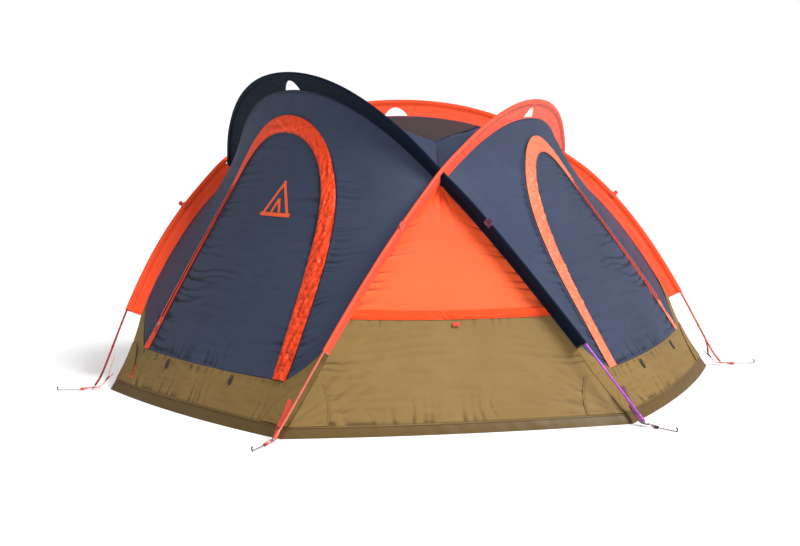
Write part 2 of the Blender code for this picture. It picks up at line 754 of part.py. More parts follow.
def make_strap(number, azimuth, pin, material):
    """Corner webbing: from the tub's corner down to an eyelet for the pole tip and a loop for the stake."""
    out = direction(azimuth)
    across = across_axis(azimuth)
    t = STRAP_THICKNESS / 2
    flat = STAKE_HEIGHT + 0.0042 + t
    route = np.array([(1.236, 0.072), (1.296, 0.016), (1.312, flat), (1.378, flat)])
    steps = np.gradient(route, axis=0)
    normal = np.stack([-steps[:, 1], steps[:, 0]], axis=-1)
    normal /= np.linalg.norm(normal, axis=1)[:, None]
    normal[-2:] = (0.0, 1.0)
    sections = []
    for (r, z), (nr, nz) in zip(route, normal):
        corners = []
        for k, w in ((t, -1), (t, 1), (-t, 1), (-t, -1)):
            corners.append(out * (r + nr * k) + across * (w * STRAP_WIDTH / 2) + np.array([0, 0, z + nz * k]))
        sections.append(np.array(corners))
    strap = sweep(f"corner_strap_{number}", sections, material)
    block = box_points(out * 1.376, out, across, 0.008, 0.0060, 0.0003, flat - t / 2)
    cut(strap, add_solid(f"loop_{number}", block, BOX_FACES, material), "UNION")
    hole = box_points(out * 1.376, out, across, 0.020, 0.0042, 0.0014, STAKE_HEIGHT + 0.0034)
    cut(strap, add_solid(f"loop_hole_{number}", hole, BOX_FACES, material), "DIFFERENCE")
    spot = np.array([pin[0], pin[1], 0.0])
    sections = [circle(spot + np.array([0, 0, z]), out, across, EYELET_RADIUS, 10) for z in (0.004, 0.020)]
    tool = sweep(f"eyelet_hole_{number}", sections, material)
    cut(strap, tool, "DIFFERENCE")


def make_stake(number, azimuth, material):
    """A round peg lying in its loop, with its outer end bent up into a hook."""
    out = direction(azimuth)
    across = across_axis(azimuth)
    up = np.array([0.0, 0.0, 1.0])
    bend = 0.007
    path = [(STAKE_START, 0.0, 0.0), (STAKE_END - bend, 0.0, 0.0)]
    for turn in (30.0, 60.0, 90.0, 125.0, 160.0):
        a = radians(turn)
        path.append((STAKE_END - bend + bend * sin(a), bend - bend * cos(a), turn))
    sections = []
    for r, rise, turn in path:
        lean = -sin(radians(turn)) * out + cos(radians(turn)) * up
        centre = out * r + up * (STAKE_HEIGHT + rise)
        sections.append(circle(centre, across, lean, STAKE_RADIUS, 6))
    sweep(f"stake_{number}", sections, material, origin=tuple(out * STAKE_START + up * STAKE_HEIGHT))


def make_guy_tab(number, arch, side, material):
    """A folded webbing tab on the outer edge of a sleeve."""
    s = np.array([TAB_FROM_FOOT if side == 0 else 1 - TAB_FROM_FOOT])
    inward = arch.read(arch.inward, s)[0]
    along = np.cross(arch.normal, inward)
    centre = arch.axis(s)[0] - inward * (SLEEVE_OUTER + 0.0006)
    sections = []
    for depth, width, thick in ((0.0, 0.009, 0.0030), (0.004, 0.009, 0.0024), (0.018, 0.009, 0.0018)):
        middle = centre - inward * depth
        corners = ((-1, -1), (1, -1), (1, 1), (-1, 1))
        sections.append(np.array([middle + along * (a * width) + arch.normal * (b * thick) for a, b in corners]))
    sweep(f"guy_tab_{number}", sections, material)


def surface_frame(face, across, height):
    """A point on a face with its outward normal and its upward direction."""
    spot = face.at(*face.locate(across, height))
    higher = face.at(*face.locate(across, height + 0.02))
    beside = face.at(*face.locate(across + 0.02, height))
    up = (higher - spot) / np.linalg.norm(higher - spot)
    normal = np.cross(beside - spot, up)
    return spot, normal / np.linalg.norm(normal), up


def make_toggle(name, face, across, material):
    """A small bar that hangs on the wall below the door and buttons the rolled door."""
    top, normal, up = surface_frame(face, across, SILL_HEIGHT - 0.014)
    side = np.cross(up, normal)
    sections = []
    for drop, width, depth in ((0.0, 0.0020, 0.0020), (0.006, 0.0026, 0.0022), (0.010, 0.0042, 0.0030),
                               (0.030, 0.0046, 0.0032), (TOGGLE_LENGTH, 0.0030, 0.0024)):
        centre = top - up * drop + normal * 0.0048
        ring_points = []
        for k in range(8):
            a = 2 * np.pi * (k + 0.5) / 8
            ring_points.append(centre + side * (width * cos(a)) + normal * (depth * sin(a)))
        sections.append(np.array(ring_points))
    sweep(name, sections, material, origin=tuple(top + normal * 0.0048))


def make_slider(name, face, across, height, material):
    """A zip slider with its pull lying down the zip."""
    spot, normal, up = surface_frame(face, across, height)
    side = np.cross(up, normal)
    lift = FABRIC / 2 + GAP
    sections = []
    for along, width, low, high in ((0.007, 0.0030, 0.0, 0.0022), (0.004, 0.0044, 0.0, 0.0034),
                                    (-0.005, 0.0036, 0.0, 0.0034), (-0.007, 0.0026, 0.0010, 0.0030),
                                    (-0.011, 0.0020, 0.0012, 0.0030), (-0.030, 0.0030, 0.0012, 0.0028)):
        centre = spot + up * along
        corners = []
        for w, h in ((-width, low), (width, low), (width, high), (-width, high)):
            corners.append(centre + side * w + normal * (lift + h))
        sections.append(np.array(corners))
    sweep(name, sections, material, origin=tuple(spot + normal * lift))


def make_tub(material):
    """The waterproof floor with its edge turned up the walls, as one thin tray."""
    low = []
    high = []
    for face in (FACES["front"], GUSSETS["right_front"], FACES["right"], GUSSETS["rear"], FACES["left"],
                 GUSSETS["left_front"]):
        u = np.linspace(0.0, 1.0, 9)[:-1]
        low.append(face.at(u, 0.0 * u))
        high.append(face.at(u, 0.0 * u + TUB_SHARE - 0.0008))
    low = np.vstack(low)
    high = np.vstack(high)
    count = len(low)
    inward = -low / np.linalg.norm(low, axis=1)[:, None]
    floor = np.array([0.0, 0.0, FABRIC])
    points = np.vstack([low, high, high + inward * FABRIC, low + inward * FABRIC + floor])
    faces = [tuple(reversed(range(count)))]
    for layer in range(3):
        for i in range(count):
            j = (i + 1) % count
            a = layer * count
            b = a + count
            outer = [(a + i, a + j, b + j), (a + i, b + j, b + i)]
            inner = [(a + i, a + j, b + i), (a + j, b + j, b + i)]
            faces += inner if layer == 2 else outer
    faces.append(tuple(range(3 * count, 4 * count)))
    add_solid("tub_floor", points, faces, material)


def main():
    clear_scene()
    materials = make_materials()
    make_tub(materials["tan_fabric"])
    make_face_walls(materials)
    make_door_face("front", 1, materials)
    make_door_face("right", -1, materials)
    make_roof(materials)
    make_fin("front", materials["fin_navy"])
    make_fin("right", materials["fin_orange"])
    make_fin("left", materials["fin_orange"])
    make_pole("front", materials["pole_purple"])
    make_pole("right", materials["pole_red"])
    make_pole("left", materials["pole_red"])
    for number, azimuth, name, side in feet():
        arch = ARCHES[name]
        plum = name == "front"
        make_pole_tip(number, arch, side, materials["metal"])
        pin = pin_at_strap(arch, side)
        make_strap(number, azimuth, pin, materials["webbing_plum" if plum else "webbing_red"])
        make_stake(number, azimuth, materials["metal"])
        make_guy_tab(number, arch, side, materials["webbing_plum" if plum else "webbing_red"])
    for name, narrow_side in (("front", -1), ("right", 1)):
        face = FACES[name]
        for label, sign in (("left", -1), ("right", 1)):
            make_toggle(f"toggle_{name}_{label}", face, sign * TOGGLE_ACROSS, materials["black_plastic"])
        across = narrow_side * (DOOR_HALF_WIDTH - 0.016 + 0.012)
        make_slider(f"zip_slider_{name}", face, across, SLIDER_HEIGHT, materials["metal"])


main()
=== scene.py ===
"""Looks for the dome tent: taut cloth, webbing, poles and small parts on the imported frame."""

from math import cos, pi, radians, sin

import bpy
import numpy as np
from mathutils import Matrix, Vector
from mathutils.bvhtree import BVHTree


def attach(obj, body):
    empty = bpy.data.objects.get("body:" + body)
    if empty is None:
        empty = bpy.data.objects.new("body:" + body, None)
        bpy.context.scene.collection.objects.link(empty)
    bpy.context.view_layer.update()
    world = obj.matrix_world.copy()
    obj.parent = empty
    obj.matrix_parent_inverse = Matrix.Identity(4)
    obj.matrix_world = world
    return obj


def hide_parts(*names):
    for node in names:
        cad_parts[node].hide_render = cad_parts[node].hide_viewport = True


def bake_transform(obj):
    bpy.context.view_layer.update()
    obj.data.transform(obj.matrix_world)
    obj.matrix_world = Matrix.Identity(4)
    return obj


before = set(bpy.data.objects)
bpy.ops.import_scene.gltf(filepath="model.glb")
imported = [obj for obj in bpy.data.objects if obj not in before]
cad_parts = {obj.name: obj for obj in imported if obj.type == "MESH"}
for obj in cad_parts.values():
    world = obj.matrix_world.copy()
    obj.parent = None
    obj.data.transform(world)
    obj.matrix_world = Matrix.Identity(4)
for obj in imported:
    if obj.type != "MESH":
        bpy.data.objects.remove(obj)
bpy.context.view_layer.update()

# ---------------------------------------------------------------- dimensions
# The tent's pattern, as in the CAD: metres, +Z up, the front door facing -Y. An outline holds half
# its width, its top, the inset and height of its side handle, and the reach of its top handle.
FOOT_RADIUS = 1.340
CORNER_RADIUS = 1.262
CORNER_FLARE = 0.016
BASE_BOW = 0.040
FIN_DEPTH = 0.060
FIN_SWELL = 0.012
HEM_FROM_FOOT = 0.372
CROSSING_LIFT = 0.0090
CROSSING_SPREAD = 0.110
POLE_RADIUS = 0.00425
VENT_HALF_WIDTH = 0.056
VENT_HEIGHT = 0.042
SILL_HEIGHT = 0.176
WALL_HEIGHT = 0.1750
DOOR_OUTLINES = {"front": (0.456, 1.044, 0.081, 0.513, 0.314), "right": (0.456, 0.945, 0.052, 0.290, 0.257)}
BAND_OUTLINES = {"front": (0.522, 1.102, 0.0135, 0.317, 0.390), "right": (0.508, 0.999, 0.042, 0.4275, 0.274)}
BAND_NARROW = 0.042
ZIP_LOW, ZIP_HIGH = 0.30, 0.84
TUB_SHARE = 0.038
GUSSET_SEAM = 0.440
SEAM_CROSSINGS = {("front", "right"): (0.7172, 0.2945), ("front", "left"): (0.2828, 0.7055),
                  ("right", "left"): (0.7009, 0.2991)}
POLE_CROSSINGS = {("front", "right"): (0.7131, 0.2954), ("front", "left"): (0.2869, 0.7046),
                  ("right", "left"): (0.6999, 0.3001)}
OVER = {("front", "right"): "right", ("front", "left"): "left", ("right", "left"): "right"}
GRID = 49
UP = np.array([0.0, 0.0, 1.0])


# ---------------------------------------------------------------- noise
RANDOM = np.random.default_rng(20).random((6, 64, 64)) * 2 - 1


def noise(x, y, layer=0):
    """Smooth value noise from -1 to 1, one cell per unit, repeating every 64."""
    i = np.floor(x).astype(int)
    j = np.floor(y).astype(int)
    a = x - i
    b = y - j
    a = a * a * (3 - 2 * a)
    b = b * b * (3 - 2 * b)
    t = RANDOM[layer]
    low = t[i % 64, j % 64] * (1 - a) + t[(i + 1) % 64, j % 64] * a
    high = t[i % 64, (j + 1) % 64] * (1 - a) + t[(i + 1) % 64, (j + 1) % 64] * a
    return low * (1 - b) + high * b


def folds(x, y, layer=0):
    """Ridged noise: rounded valleys with sharper crests, about zero on average."""
    return 0.5 - np.abs(noise(x, y, layer)) - 0.5 * np.abs(noise(x * 2.1 + 7, y * 2.1 + 3, layer))


# ---------------------------------------------------------------- the tent's lines
def direction(azimuth):
    return np.array([cos(radians(azimuth)), sin(radians(azimuth)), 0.0])


def across_axis(azimuth):
    return np.array([-sin(radians(azimuth)), cos(radians(azimuth)), 0.0])


def unit(v):
    return v / np.maximum(np.linalg.norm(v, axis=-1), 1e-9)[..., None]


def bezier(a, b, c, d, t):
    t = np.asarray(t)[:, None]
    return (1 - t) ** 3 * a + 3 * (1 - t) ** 2 * t * b + 3 * (1 - t) * t**2 * c + t**3 * d


def run_length(curve):
    return np.concatenate([[0.0], np.cumsum(np.linalg.norm(np.diff(curve, axis=0), axis=1))])


def spaced(curve, count):
    run = run_length(curve)
    even = np.linspace(0.0, run[-1], count)
    return np.stack([np.interp(even, run, curve[:, k]) for k in range(curve.shape[1])], axis=-1)


class Arch:
    """One pole's planar arch, read by share of its length from its left foot."""

    def __init__(self, name, azimuth, lean, height, shoulder, pull, angle):
        self.name = name
        self.azimuth = azimuth
        self.outward = direction(azimuth)
        self.along = across_axis(azimuth)
        self.up = cos(radians(lean)) * UP + sin(radians(lean)) * self.outward
        self.normal = np.cross(self.along, self.up)
        foot = np.array([1.0, 0.0])
        near = foot + pull * np.array([-cos(radians(angle)), sin(radians(angle))])
        top, bend = np.array([0.0, height]), np.array([shoulder, height])
        half = bezier(top, bend, near, foot, np.linspace(0, 1, 801))
        flat = spaced(np.vstack([half[:0:-1] * [-1.0, 1.0], half]) * FOOT_RADIUS, 1201)
        tangent = unit(np.gradient(flat, axis=0))
        self.length = run_length(flat)[-1]
        self.share = np.linspace(0.0, 1.0, len(flat))
        self.points = flat[:, :1] * self.along + flat[:, 1:] * self.up
        self.inward = tangent[:, 1:] * self.along - tangent[:, :1] * self.up
        self.lifts = [(shares[pair.index(name)], CROSSING_LIFT if OVER[pair] == name else -CROSSING_LIFT)
                      for pair, shares in POLE_CROSSINGS.items() if name in pair]

    def read(self, table, s):
        return np.stack([np.interp(s, self.share, table[:, k]) for k in range(3)], axis=-1)

    def seam_depth(self, s):
        return FIN_DEPTH + FIN_SWELL * np.sin(np.pi * s) ** 2

    def seam(self, s):
        return self.read(self.points, s) + self.read(self.inward, s) * self.seam_depth(s)[:, None]

    def lift(self, s):
        return sum(a * np.exp(-(((s - c) * self.length / CROSSING_SPREAD) ** 2)) for c, a in self.lifts)

    def axis(self, s):
        return self.read(self.points, s) - self.read(self.inward, s) * self.lift(s)[:, None]


SIDE = {"lean": 24.82, "height": 0.9433, "shoulder": 0.810, "pull": 0.1015, "angle": 29.95}
ARCHES = {
    "front": Arch("front", -90.0, 25.87, 1.0527, 0.410, 0.810, 62.7),
    "right": Arch("right", 30.0, **SIDE),
    "left": Arch("left", 150.0, **SIDE),
}


def seam_share(name, other):
    pair, shares = next((p, s) for p, s in SEAM_CROSSINGS.items() if set(p) == {name, other})
    return shares[pair.index(name)]


def seam_meeting(name, other):
    one = ARCHES[name].seam(np.array([seam_share(name, other)]))[0]
    two = ARCHES[other].seam(np.array([seam_share(other, name)]))[0]
    return (one + two) / 2


def leg_edge(name, side, other):
    arch = ARCHES[name]
    start = HEM_FROM_FOOT / arch.length
    s = np.linspace(start if side == 0 else 1 - start, seam_share(name, other), 200)
    curve = arch.seam(s)
    curve = curve + np.linspace(0, 1, 200)[:, None] ** 6 * (seam_meeting(name, other) - curve[-1])
    out = direction(arch.azimuth + (90.0 if side else -90.0))
    t = np.linspace(0, 1, 60)[:, None]
    rise = out * CORNER_RADIUS * (1 - t) + curve[0] * t - 4 * t * (1 - t) * CORNER_FLARE * out
    return spaced(np.vstack([rise[:-1], curve]), GRID)


def base_edge(start, end):
    start, end = direction(start) * CORNER_RADIUS, direction(end) * CORNER_RADIUS
    t = np.linspace(0, 1, GRID)[:, None]
    return start + t * (end - start) + 4 * t * (1 - t) * BASE_BOW * unit(start + end)


def top_edge(name, start, end):
    s = np.sort([seam_share(name, other) for other in ARCHES if other != name])
    curve = ARCHES[name].seam(np.linspace(s[0], s[1], 200))
    t = np.linspace(0, 1, 200)[:, None]
    return spaced(curve + (1 - t) ** 8 * (start - curve[0]) + t**8 * (end - curve[-1]), GRID)


def taut(bottom, top, left, right):
    u = np.linspace(0, 1, len(bottom))[None, :, None]
    v = np.linspace(0, 1, len(left))[:, None, None]
    grid = (1 - v) * bottom[None] + v * top[None] + (1 - u) * left[:, None] + u * right[:, None]
    grid = grid - (1 - u) * (1 - v) * bottom[0] - u * (1 - v) * bottom[-1]
    grid = grid - (1 - u) * v * top[0] - u * v * top[-1]
    for _ in range(600):
        grid[1:-1, 1:-1] = (grid[:-2, 1:-1] + grid[2:, 1:-1] + grid[1:-1, :-2] + grid[1:-1, 2:]) / 4
    return grid


def cubic(t):
    return [-0.5 * t + t**2 - 0.5 * t**3, 1 - 2.5 * t**2 + 1.5 * t**3,
            0.5 * t + 2 * t**2 - 1.5 * t**3, -0.5 * t**2 + 0.5 * t**3]


class Face:
    """A body face between two legs, read smoothly by shares across (u) and up (v)."""

    def __init__(self, azimuth, left_leg, right_leg, top=None):
        self.azimuth = azimuth
        self.across = across_axis(azimuth)
        self.out = direction(azimuth)
        top = np.repeat(left_leg[-1:], GRID, axis=0) if top is None else top
        grid = taut(base_edge(azimuth - 30.0, azimuth + 30.0), top, left_leg, right_leg)
        grid = np.concatenate([2 * grid[:1] - grid[1:2], grid, 2 * grid[-1:] - grid[-2:-1]], axis=0)
        before, after = 2 * grid[:, :1] - grid[:, 1:2], 2 * grid[:, -1:] - grid[:, -2:-1]
        self.grid = np.concatenate([before, grid, after], axis=1)

    def at(self, u, v):
        u, v = np.broadcast_arrays(np.asarray(u, float), np.asarray(v, float))
        x = np.clip(u, 0.0, 1.0) * (GRID - 1)
        y = np.clip(v, 0.0, 1.0) * (GRID - 1)
        i = np.minimum(x.astype(int), GRID - 2)
        j = np.minimum(y.astype(int), GRID - 2)
        a = cubic((x - i)[..., None])
        b = cubic((y - j)[..., None])
        return sum(b[n] * sum(a[m] * self.grid[j + n, i + m] for m in range(4)) for n in range(4))

    def locate(self, across, height):
        across, height = np.broadcast_arrays(np.asarray(across, float), np.asarray(height, float))
        u = 0.5 + across / 1.4
        v = height / 1.2
        for _ in range(50):
            point = self.at(u, v)
            width = (self.at(np.ones_like(v), v) - self.at(np.zeros_like(v), v)) @ self.across
            u = np.clip(u + 0.8 * (across - point @ self.across) / width, 0.0, 1.0)
            v = np.clip(v + 0.8 * (height - point[..., 2]) / 1.15, 0.0, 1.0)
        return u, v

    def frame_at(self, across, height):
        """A point with its outward normal, its upward and its sideways direction."""
        spot = self.at(*self.locate(across, height))
        up = unit(self.at(*self.locate(across, height + 0.02)) - spot)
        beside = self.at(*self.locate(across + 0.02, height)) - spot
        normal = unit(np.cross(beside, up))
        return spot, normal, up, np.cross(up, normal)


def big_face(name, left, right):
    left_leg, right_leg = leg_edge(left, 1, name), leg_edge(right, 0, name)
    return Face(ARCHES[name].azimuth, left_leg, right_leg, top_edge(name, left_leg[-1], right_leg[-1]))


FACES = {"front": big_face("front", "left", "right"), "right": big_face("right", "front", "left"),
         "left": big_face("left", "right", "front")}
GUSSETS = {
    "right_front": Face(-30.0, leg_edge("right", 0, "front"), leg_edge("front", 1, "right")),
    "rear": Face(90.0, leg_edge("left", 0, "right"), leg_edge("right", 1, "left")),
    "left_front": Face(210.0, leg_edge("front", 0, "left"), leg_edge("left", 1, "front")),
}


# ---------------------------------------------------------------- materials
def tree_of(name):
    material = bpy.data.materials.new(name)
    material.use_nodes = True
    tree = material.node_tree
    return material, tree, tree.nodes["Principled BSDF"]


def node(tree, kind, settings=None, **inputs):
    """A node with its settings, and its inputs given as values or as other nodes' sockets."""
    made = tree.nodes.new(kind)
    for key, value in (settings or {}).items():
        setattr(made, key, value)
    for key, value in inputs.items():
        socket = made.inputs[int(key[1:])] if key[0] == "i" and key[1:].isdigit() else made.inputs[key]
        if isinstance(value, bpy.types.NodeSocket):
            tree.links.new(value, socket)
        else:
            socket.default_value = value
    return made


def math(tree, operation, a, b=0.0, c=0.0):
    return node(tree, "ShaderNodeMath", {"operation": operation}, i0=a, i1=b, i2=c).outputs[0]


def mix(tree, factor, a, b, blend="MIX"):
    made = tree.nodes.new("ShaderNodeMix")
    made.data_type = "RGBA"
    made.blend_type = blend
    for socket, value in ((made.inputs[0], factor), (made.inputs[6], a), (made.inputs[7], b)):
        if isinstance(value, bpy.types.NodeSocket):
            tree.links.new(value, socket)
        else:
            socket.default_value = value if socket is made.inputs[0] else (*value, 1.0)
    return made.outputs[2]


def scaled_rgb(color, k):
    return tuple(min(1.0, c * k) for c in color)


def stripe(tree, coordinate, centre, half):
    """1 within half of centre along a coordinate."""
    off = math(tree, "ABSOLUTE", math(tree, "SUBTRACT", coordinate, centre))
    return math(tree, "LESS_THAN", off, half)


THREAD_WIDTH, SEAM_WIDTH, STITCH = 0.0009, 0.0024, 0.0042


def cloth(name, color, rough=0.62, sheen=0.25, weave=0.0016, grid=0.006, crinkle=0.35, gloss=0.0, lines=(),
          zip_line=None, alpha=None, vary=0.10, low=None, mirror=0.14, crease_shade=0.75):
    """Coated cloth: weave and ripstop grid, soft creases, colour that varies, and stitched lines.

    lines holds (uv axis, place, period, colour) for dashed stitching along the other axis, and
    low is (colour, height, height) for cloth that changes colour downward between two heights, a painted
    glow of light through the cloth. The mesh's own fold attribute puts painted shade in the creases, by the
    last argument."""
    material, tree, shader = tree_of(name)
    place = node(tree, "ShaderNodeTexCoord")
    uv = node(tree, "ShaderNodeSeparateXYZ", Vector=place.outputs["UV"])
    axes = {"x": uv.outputs[0], "y": uv.outputs[1]}
    spot = place.outputs["Object"]
    broad = node(tree, "ShaderNodeTexNoise", Vector=spot, Scale=3.2, Detail=5.0, Roughness=0.6)
    fine = node(tree, "ShaderNodeTexNoise", Vector=spot, Scale=38.0, Detail=4.0, Roughness=0.65)
    spread = node(tree, "ShaderNodeMapRange", Value=broad.outputs[0], i1=0.3, i2=0.7, i3=0.0, i4=1.0)
    shade = spread.outputs[0]
    result = mix(tree, shade, scaled_rgb(color, 1 - vary), scaled_rgb(color, 1 + vary * 0.7))
    # Painted light: downward from the higher height of low to the lower one, the colour turns to low's
    # colour, a glow of light through the cloth.
    if low:
        z = node(tree, "ShaderNodeSeparateXYZ", Vector=spot).outputs[2]
        drop = node(tree, "ShaderNodeMapRange", Value=z, i1=low[1], i2=low[2], i3=1.0, i4=0.0).outputs[0]
        result = mix(tree, drop, result, low[0])
    result = mix(tree, math(tree, "MULTIPLY", fine.outputs[0], 0.22), result, scaled_rgb(color, 0.55))
    # Painted shade: the colour darkens in the mesh's creases, as deep as the fold attribute, scaled by the
    # last argument.
    fold = node(tree, "ShaderNodeAttribute", {"attribute_name": "fold"}).outputs["Fac"]
    result = mix(tree, math(tree, "MULTIPLY", fold, crease_shade), result, scaled_rgb(color, 0.30))
    threads = []
    for axis in "xy":
        wave = math(tree, "SINE", math(tree, "MULTIPLY", axes[axis], 2 * pi / weave))
        threads.append(math(tree, "MULTIPLY_ADD", wave, 0.5, 0.5))
    plain = math(tree, "MULTIPLY", threads[0], threads[1])
    result = mix(tree, math(tree, "MULTIPLY", plain, 0.10), result, scaled_rgb(color, 0.6))
    height = plain
    if grid:
        cells = []
        for axis in "xy":
            part = math(tree, "FRACT", math(tree, "DIVIDE", axes[axis], grid))
            cells.append(math(tree, "LESS_THAN", part, 0.10))
        rip = math(tree, "MAXIMUM", cells[0], cells[1])
        result = mix(tree, math(tree, "MULTIPLY", rip, 0.16), result, scaled_rgb(color, 1.5))
        height = math(tree, "ADD", plain, rip)
    for axis, where, period, thread in lines:
        other = axes["y" if axis == "x" else "x"]
        on = stripe(tree, axes[axis], where, THREAD_WIDTH)
        dash = math(tree, "LESS_THAN", math(tree, "FRACT", math(tree, "DIVIDE", other, period)), 0.62)
        seam = stripe(tree, axes[axis], where, SEAM_WIDTH)
        result = mix(tree, math(tree, "MULTIPLY", seam, 0.35), result, scaled_rgb(color, 0.35))
        result = mix(tree, math(tree, "MULTIPLY", on, dash), result, thread)
        height = math(tree, "SUBTRACT", height, math(tree, "MULTIPLY", seam, 1.5))
    if zip_line:
        where, half, tape, coil = zip_line
        result = mix(tree, stripe(tree, axes["x"], where, half), result, tape)
        teeth = math(tree, "LESS_THAN", math(tree, "FRACT", math(tree, "DIVIDE", axes["y"], 0.0024)), 0.55)
        chain = stripe(tree, axes["x"], where, half * 0.55)
        result = mix(tree, chain, result, coil)
        result = mix(tree, math(tree, "MULTIPLY", math(tree, "MULTIPLY", chain, teeth), 0.5), result,
                     scaled_rgb(coil, 1.8))
        height = math(tree, "ADD", height, math(tree, "MULTIPLY", chain, teeth))
    tree.links.new(result, shader.inputs["Base Color"])
    spread = math(tree, "MULTIPLY_ADD", fine.outputs[0], 0.16, rough - 0.08)
    tree.links.new(spread, shader.inputs["Roughness"])
    creases = node(tree, "ShaderNodeTexNoise", {"noise_type": "RIDGED_MULTIFRACTAL"}, Vector=spot, Scale=9.0,
                   Detail=4.0, Roughness=0.55)
    soft = node(tree, "ShaderNodeBump", Strength=crinkle, Distance=0.004, Height=creases.outputs[0])
    thread_bump = node(tree, "ShaderNodeBump", Strength=0.35, Distance=0.00025, Height=height,
                       Normal=soft.outputs[0])
    tree.links.new(thread_bump.outputs[0], shader.inputs["Normal"])
    shader.inputs["Sheen Weight"].default_value = sheen
    shader.inputs["Sheen Roughness"].default_value = 0.45
    shader.inputs["Sheen Tint"].default_value = (*scaled_rgb(color, 2.5), 1.0)
    shader.inputs["Specular IOR Level"].default_value = mirror
    if gloss:
        shader.inputs["Coat Weight"].default_value = gloss
        shader.inputs["Coat Roughness"].default_value = 0.28
    if alpha:
        low, high, cell = alpha
        holes = []
        for axis in "xy":
            part = math(tree, "FRACT", math(tree, "DIVIDE", axes[axis], cell))
            holes.append(math(tree, "GREATER_THAN", part, 0.42))
        open_part = math(tree, "MULTIPLY", holes[0], holes[1])
        tree.links.new(math(tree, "MULTIPLY_ADD", open_part, low - high, high), shader.inputs["Alpha"])
    return material


def webbing(name, color, edge):
    """Woven strap: ribs across it and darker selvedges."""
    material, tree, shader = tree_of(name)
    place = node(tree, "ShaderNodeTexCoord")
    uv = node(tree, "ShaderNodeSeparateXYZ", Vector=place.outputs["UV"])
    x, y = uv.outputs[0], uv.outputs[1]
    rib = math(tree, "SINE", math(tree, "MULTIPLY", y, 2 * pi / 0.0021))
    twill = math(tree, "SINE", math(tree, "MULTIPLY", math(tree, "ADD", x, y), 2 * pi / 0.0034))
    weave = math(tree, "MULTIPLY_ADD", rib, 0.5, math(tree, "MULTIPLY", twill, 0.35))
    dirt = node(tree, "ShaderNodeTexNoise", Vector=place.outputs["Object"], Scale=30.0, Detail=5.0)
    tone = node(tree, "ShaderNodeMapRange", Value=weave, i1=-0.8, i2=0.8, i3=0.0, i4=0.55).outputs[0]
    result = mix(tree, tone, scaled_rgb(color, 1.1), scaled_rgb(color, 0.6))
    result = mix(tree, math(tree, "MULTIPLY", dirt.outputs[0], 0.25), result, scaled_rgb(color, 0.45))
    side = math(tree, "GREATER_THAN", math(tree, "ABSOLUTE", math(tree, "SUBTRACT", x, 0.5)), 0.42)
    result = mix(tree, math(tree, "MULTIPLY", side, 0.6), result, edge)
    tree.links.new(result, shader.inputs["Base Color"])
    tree.links.new(node(tree, "ShaderNodeBump", Strength=0.6, Distance=0.0004, Height=weave).outputs[0],
                   shader.inputs["Normal"])
    shader.inputs["Roughness"].default_value = 0.72
    shader.inputs["Sheen Weight"].default_value = 0.3
    return material


def hard(name, color, rough, metallic=0.0, scale=60.0, wear=0.25, coat=0.0, brushed=False):
    """Metal or plastic with fine scratches, and tone and roughness that vary."""
    material, tree, shader = tree_of(name)
    place = node(tree, "ShaderNodeTexCoord")
    vector = place.outputs["Object"]
    if brushed:
        vector = node(tree, "ShaderNodeMapping", Vector=vector, Scale=(1.0, 1.0, 9.0)).outputs[0]
    grain = node(tree, "ShaderNodeTexNoise", Vector=vector, Scale=scale, Detail=6.0, Roughness=0.7)
    spots = node(tree, "ShaderNodeTexNoise", Vector=place.outputs["Object"], Scale=scale / 6, Detail=3.0)
    tone = node(tree, "ShaderNodeMapRange", Value=grain.outputs[0], i1=0.35, i2=0.65).outputs[0]
    result = mix(tree, tone, scaled_rgb(color, 1 - wear), scaled_rgb(color, 1 + wear * 0.6))
    result = mix(tree, math(tree, "MULTIPLY", spots.outputs[0], wear), result, scaled_rgb(color, 0.6))
    tree.links.new(result, shader.inputs["Base Color"])
    roughness = math(tree, "MULTIPLY_ADD", grain.outputs[0], 0.24, rough - 0.12)
    tree.links.new(roughness, shader.inputs["Roughness"])
    relief = node(tree, "ShaderNodeBump", Strength=0.2, Distance=0.0002, Height=grain.outputs[0])
    tree.links.new(relief.outputs[0], shader.inputs["Normal"])
    shader.inputs["Metallic"].default_value = metallic
    shader.inputs["Coat Weight"].default_value = coat
    return material


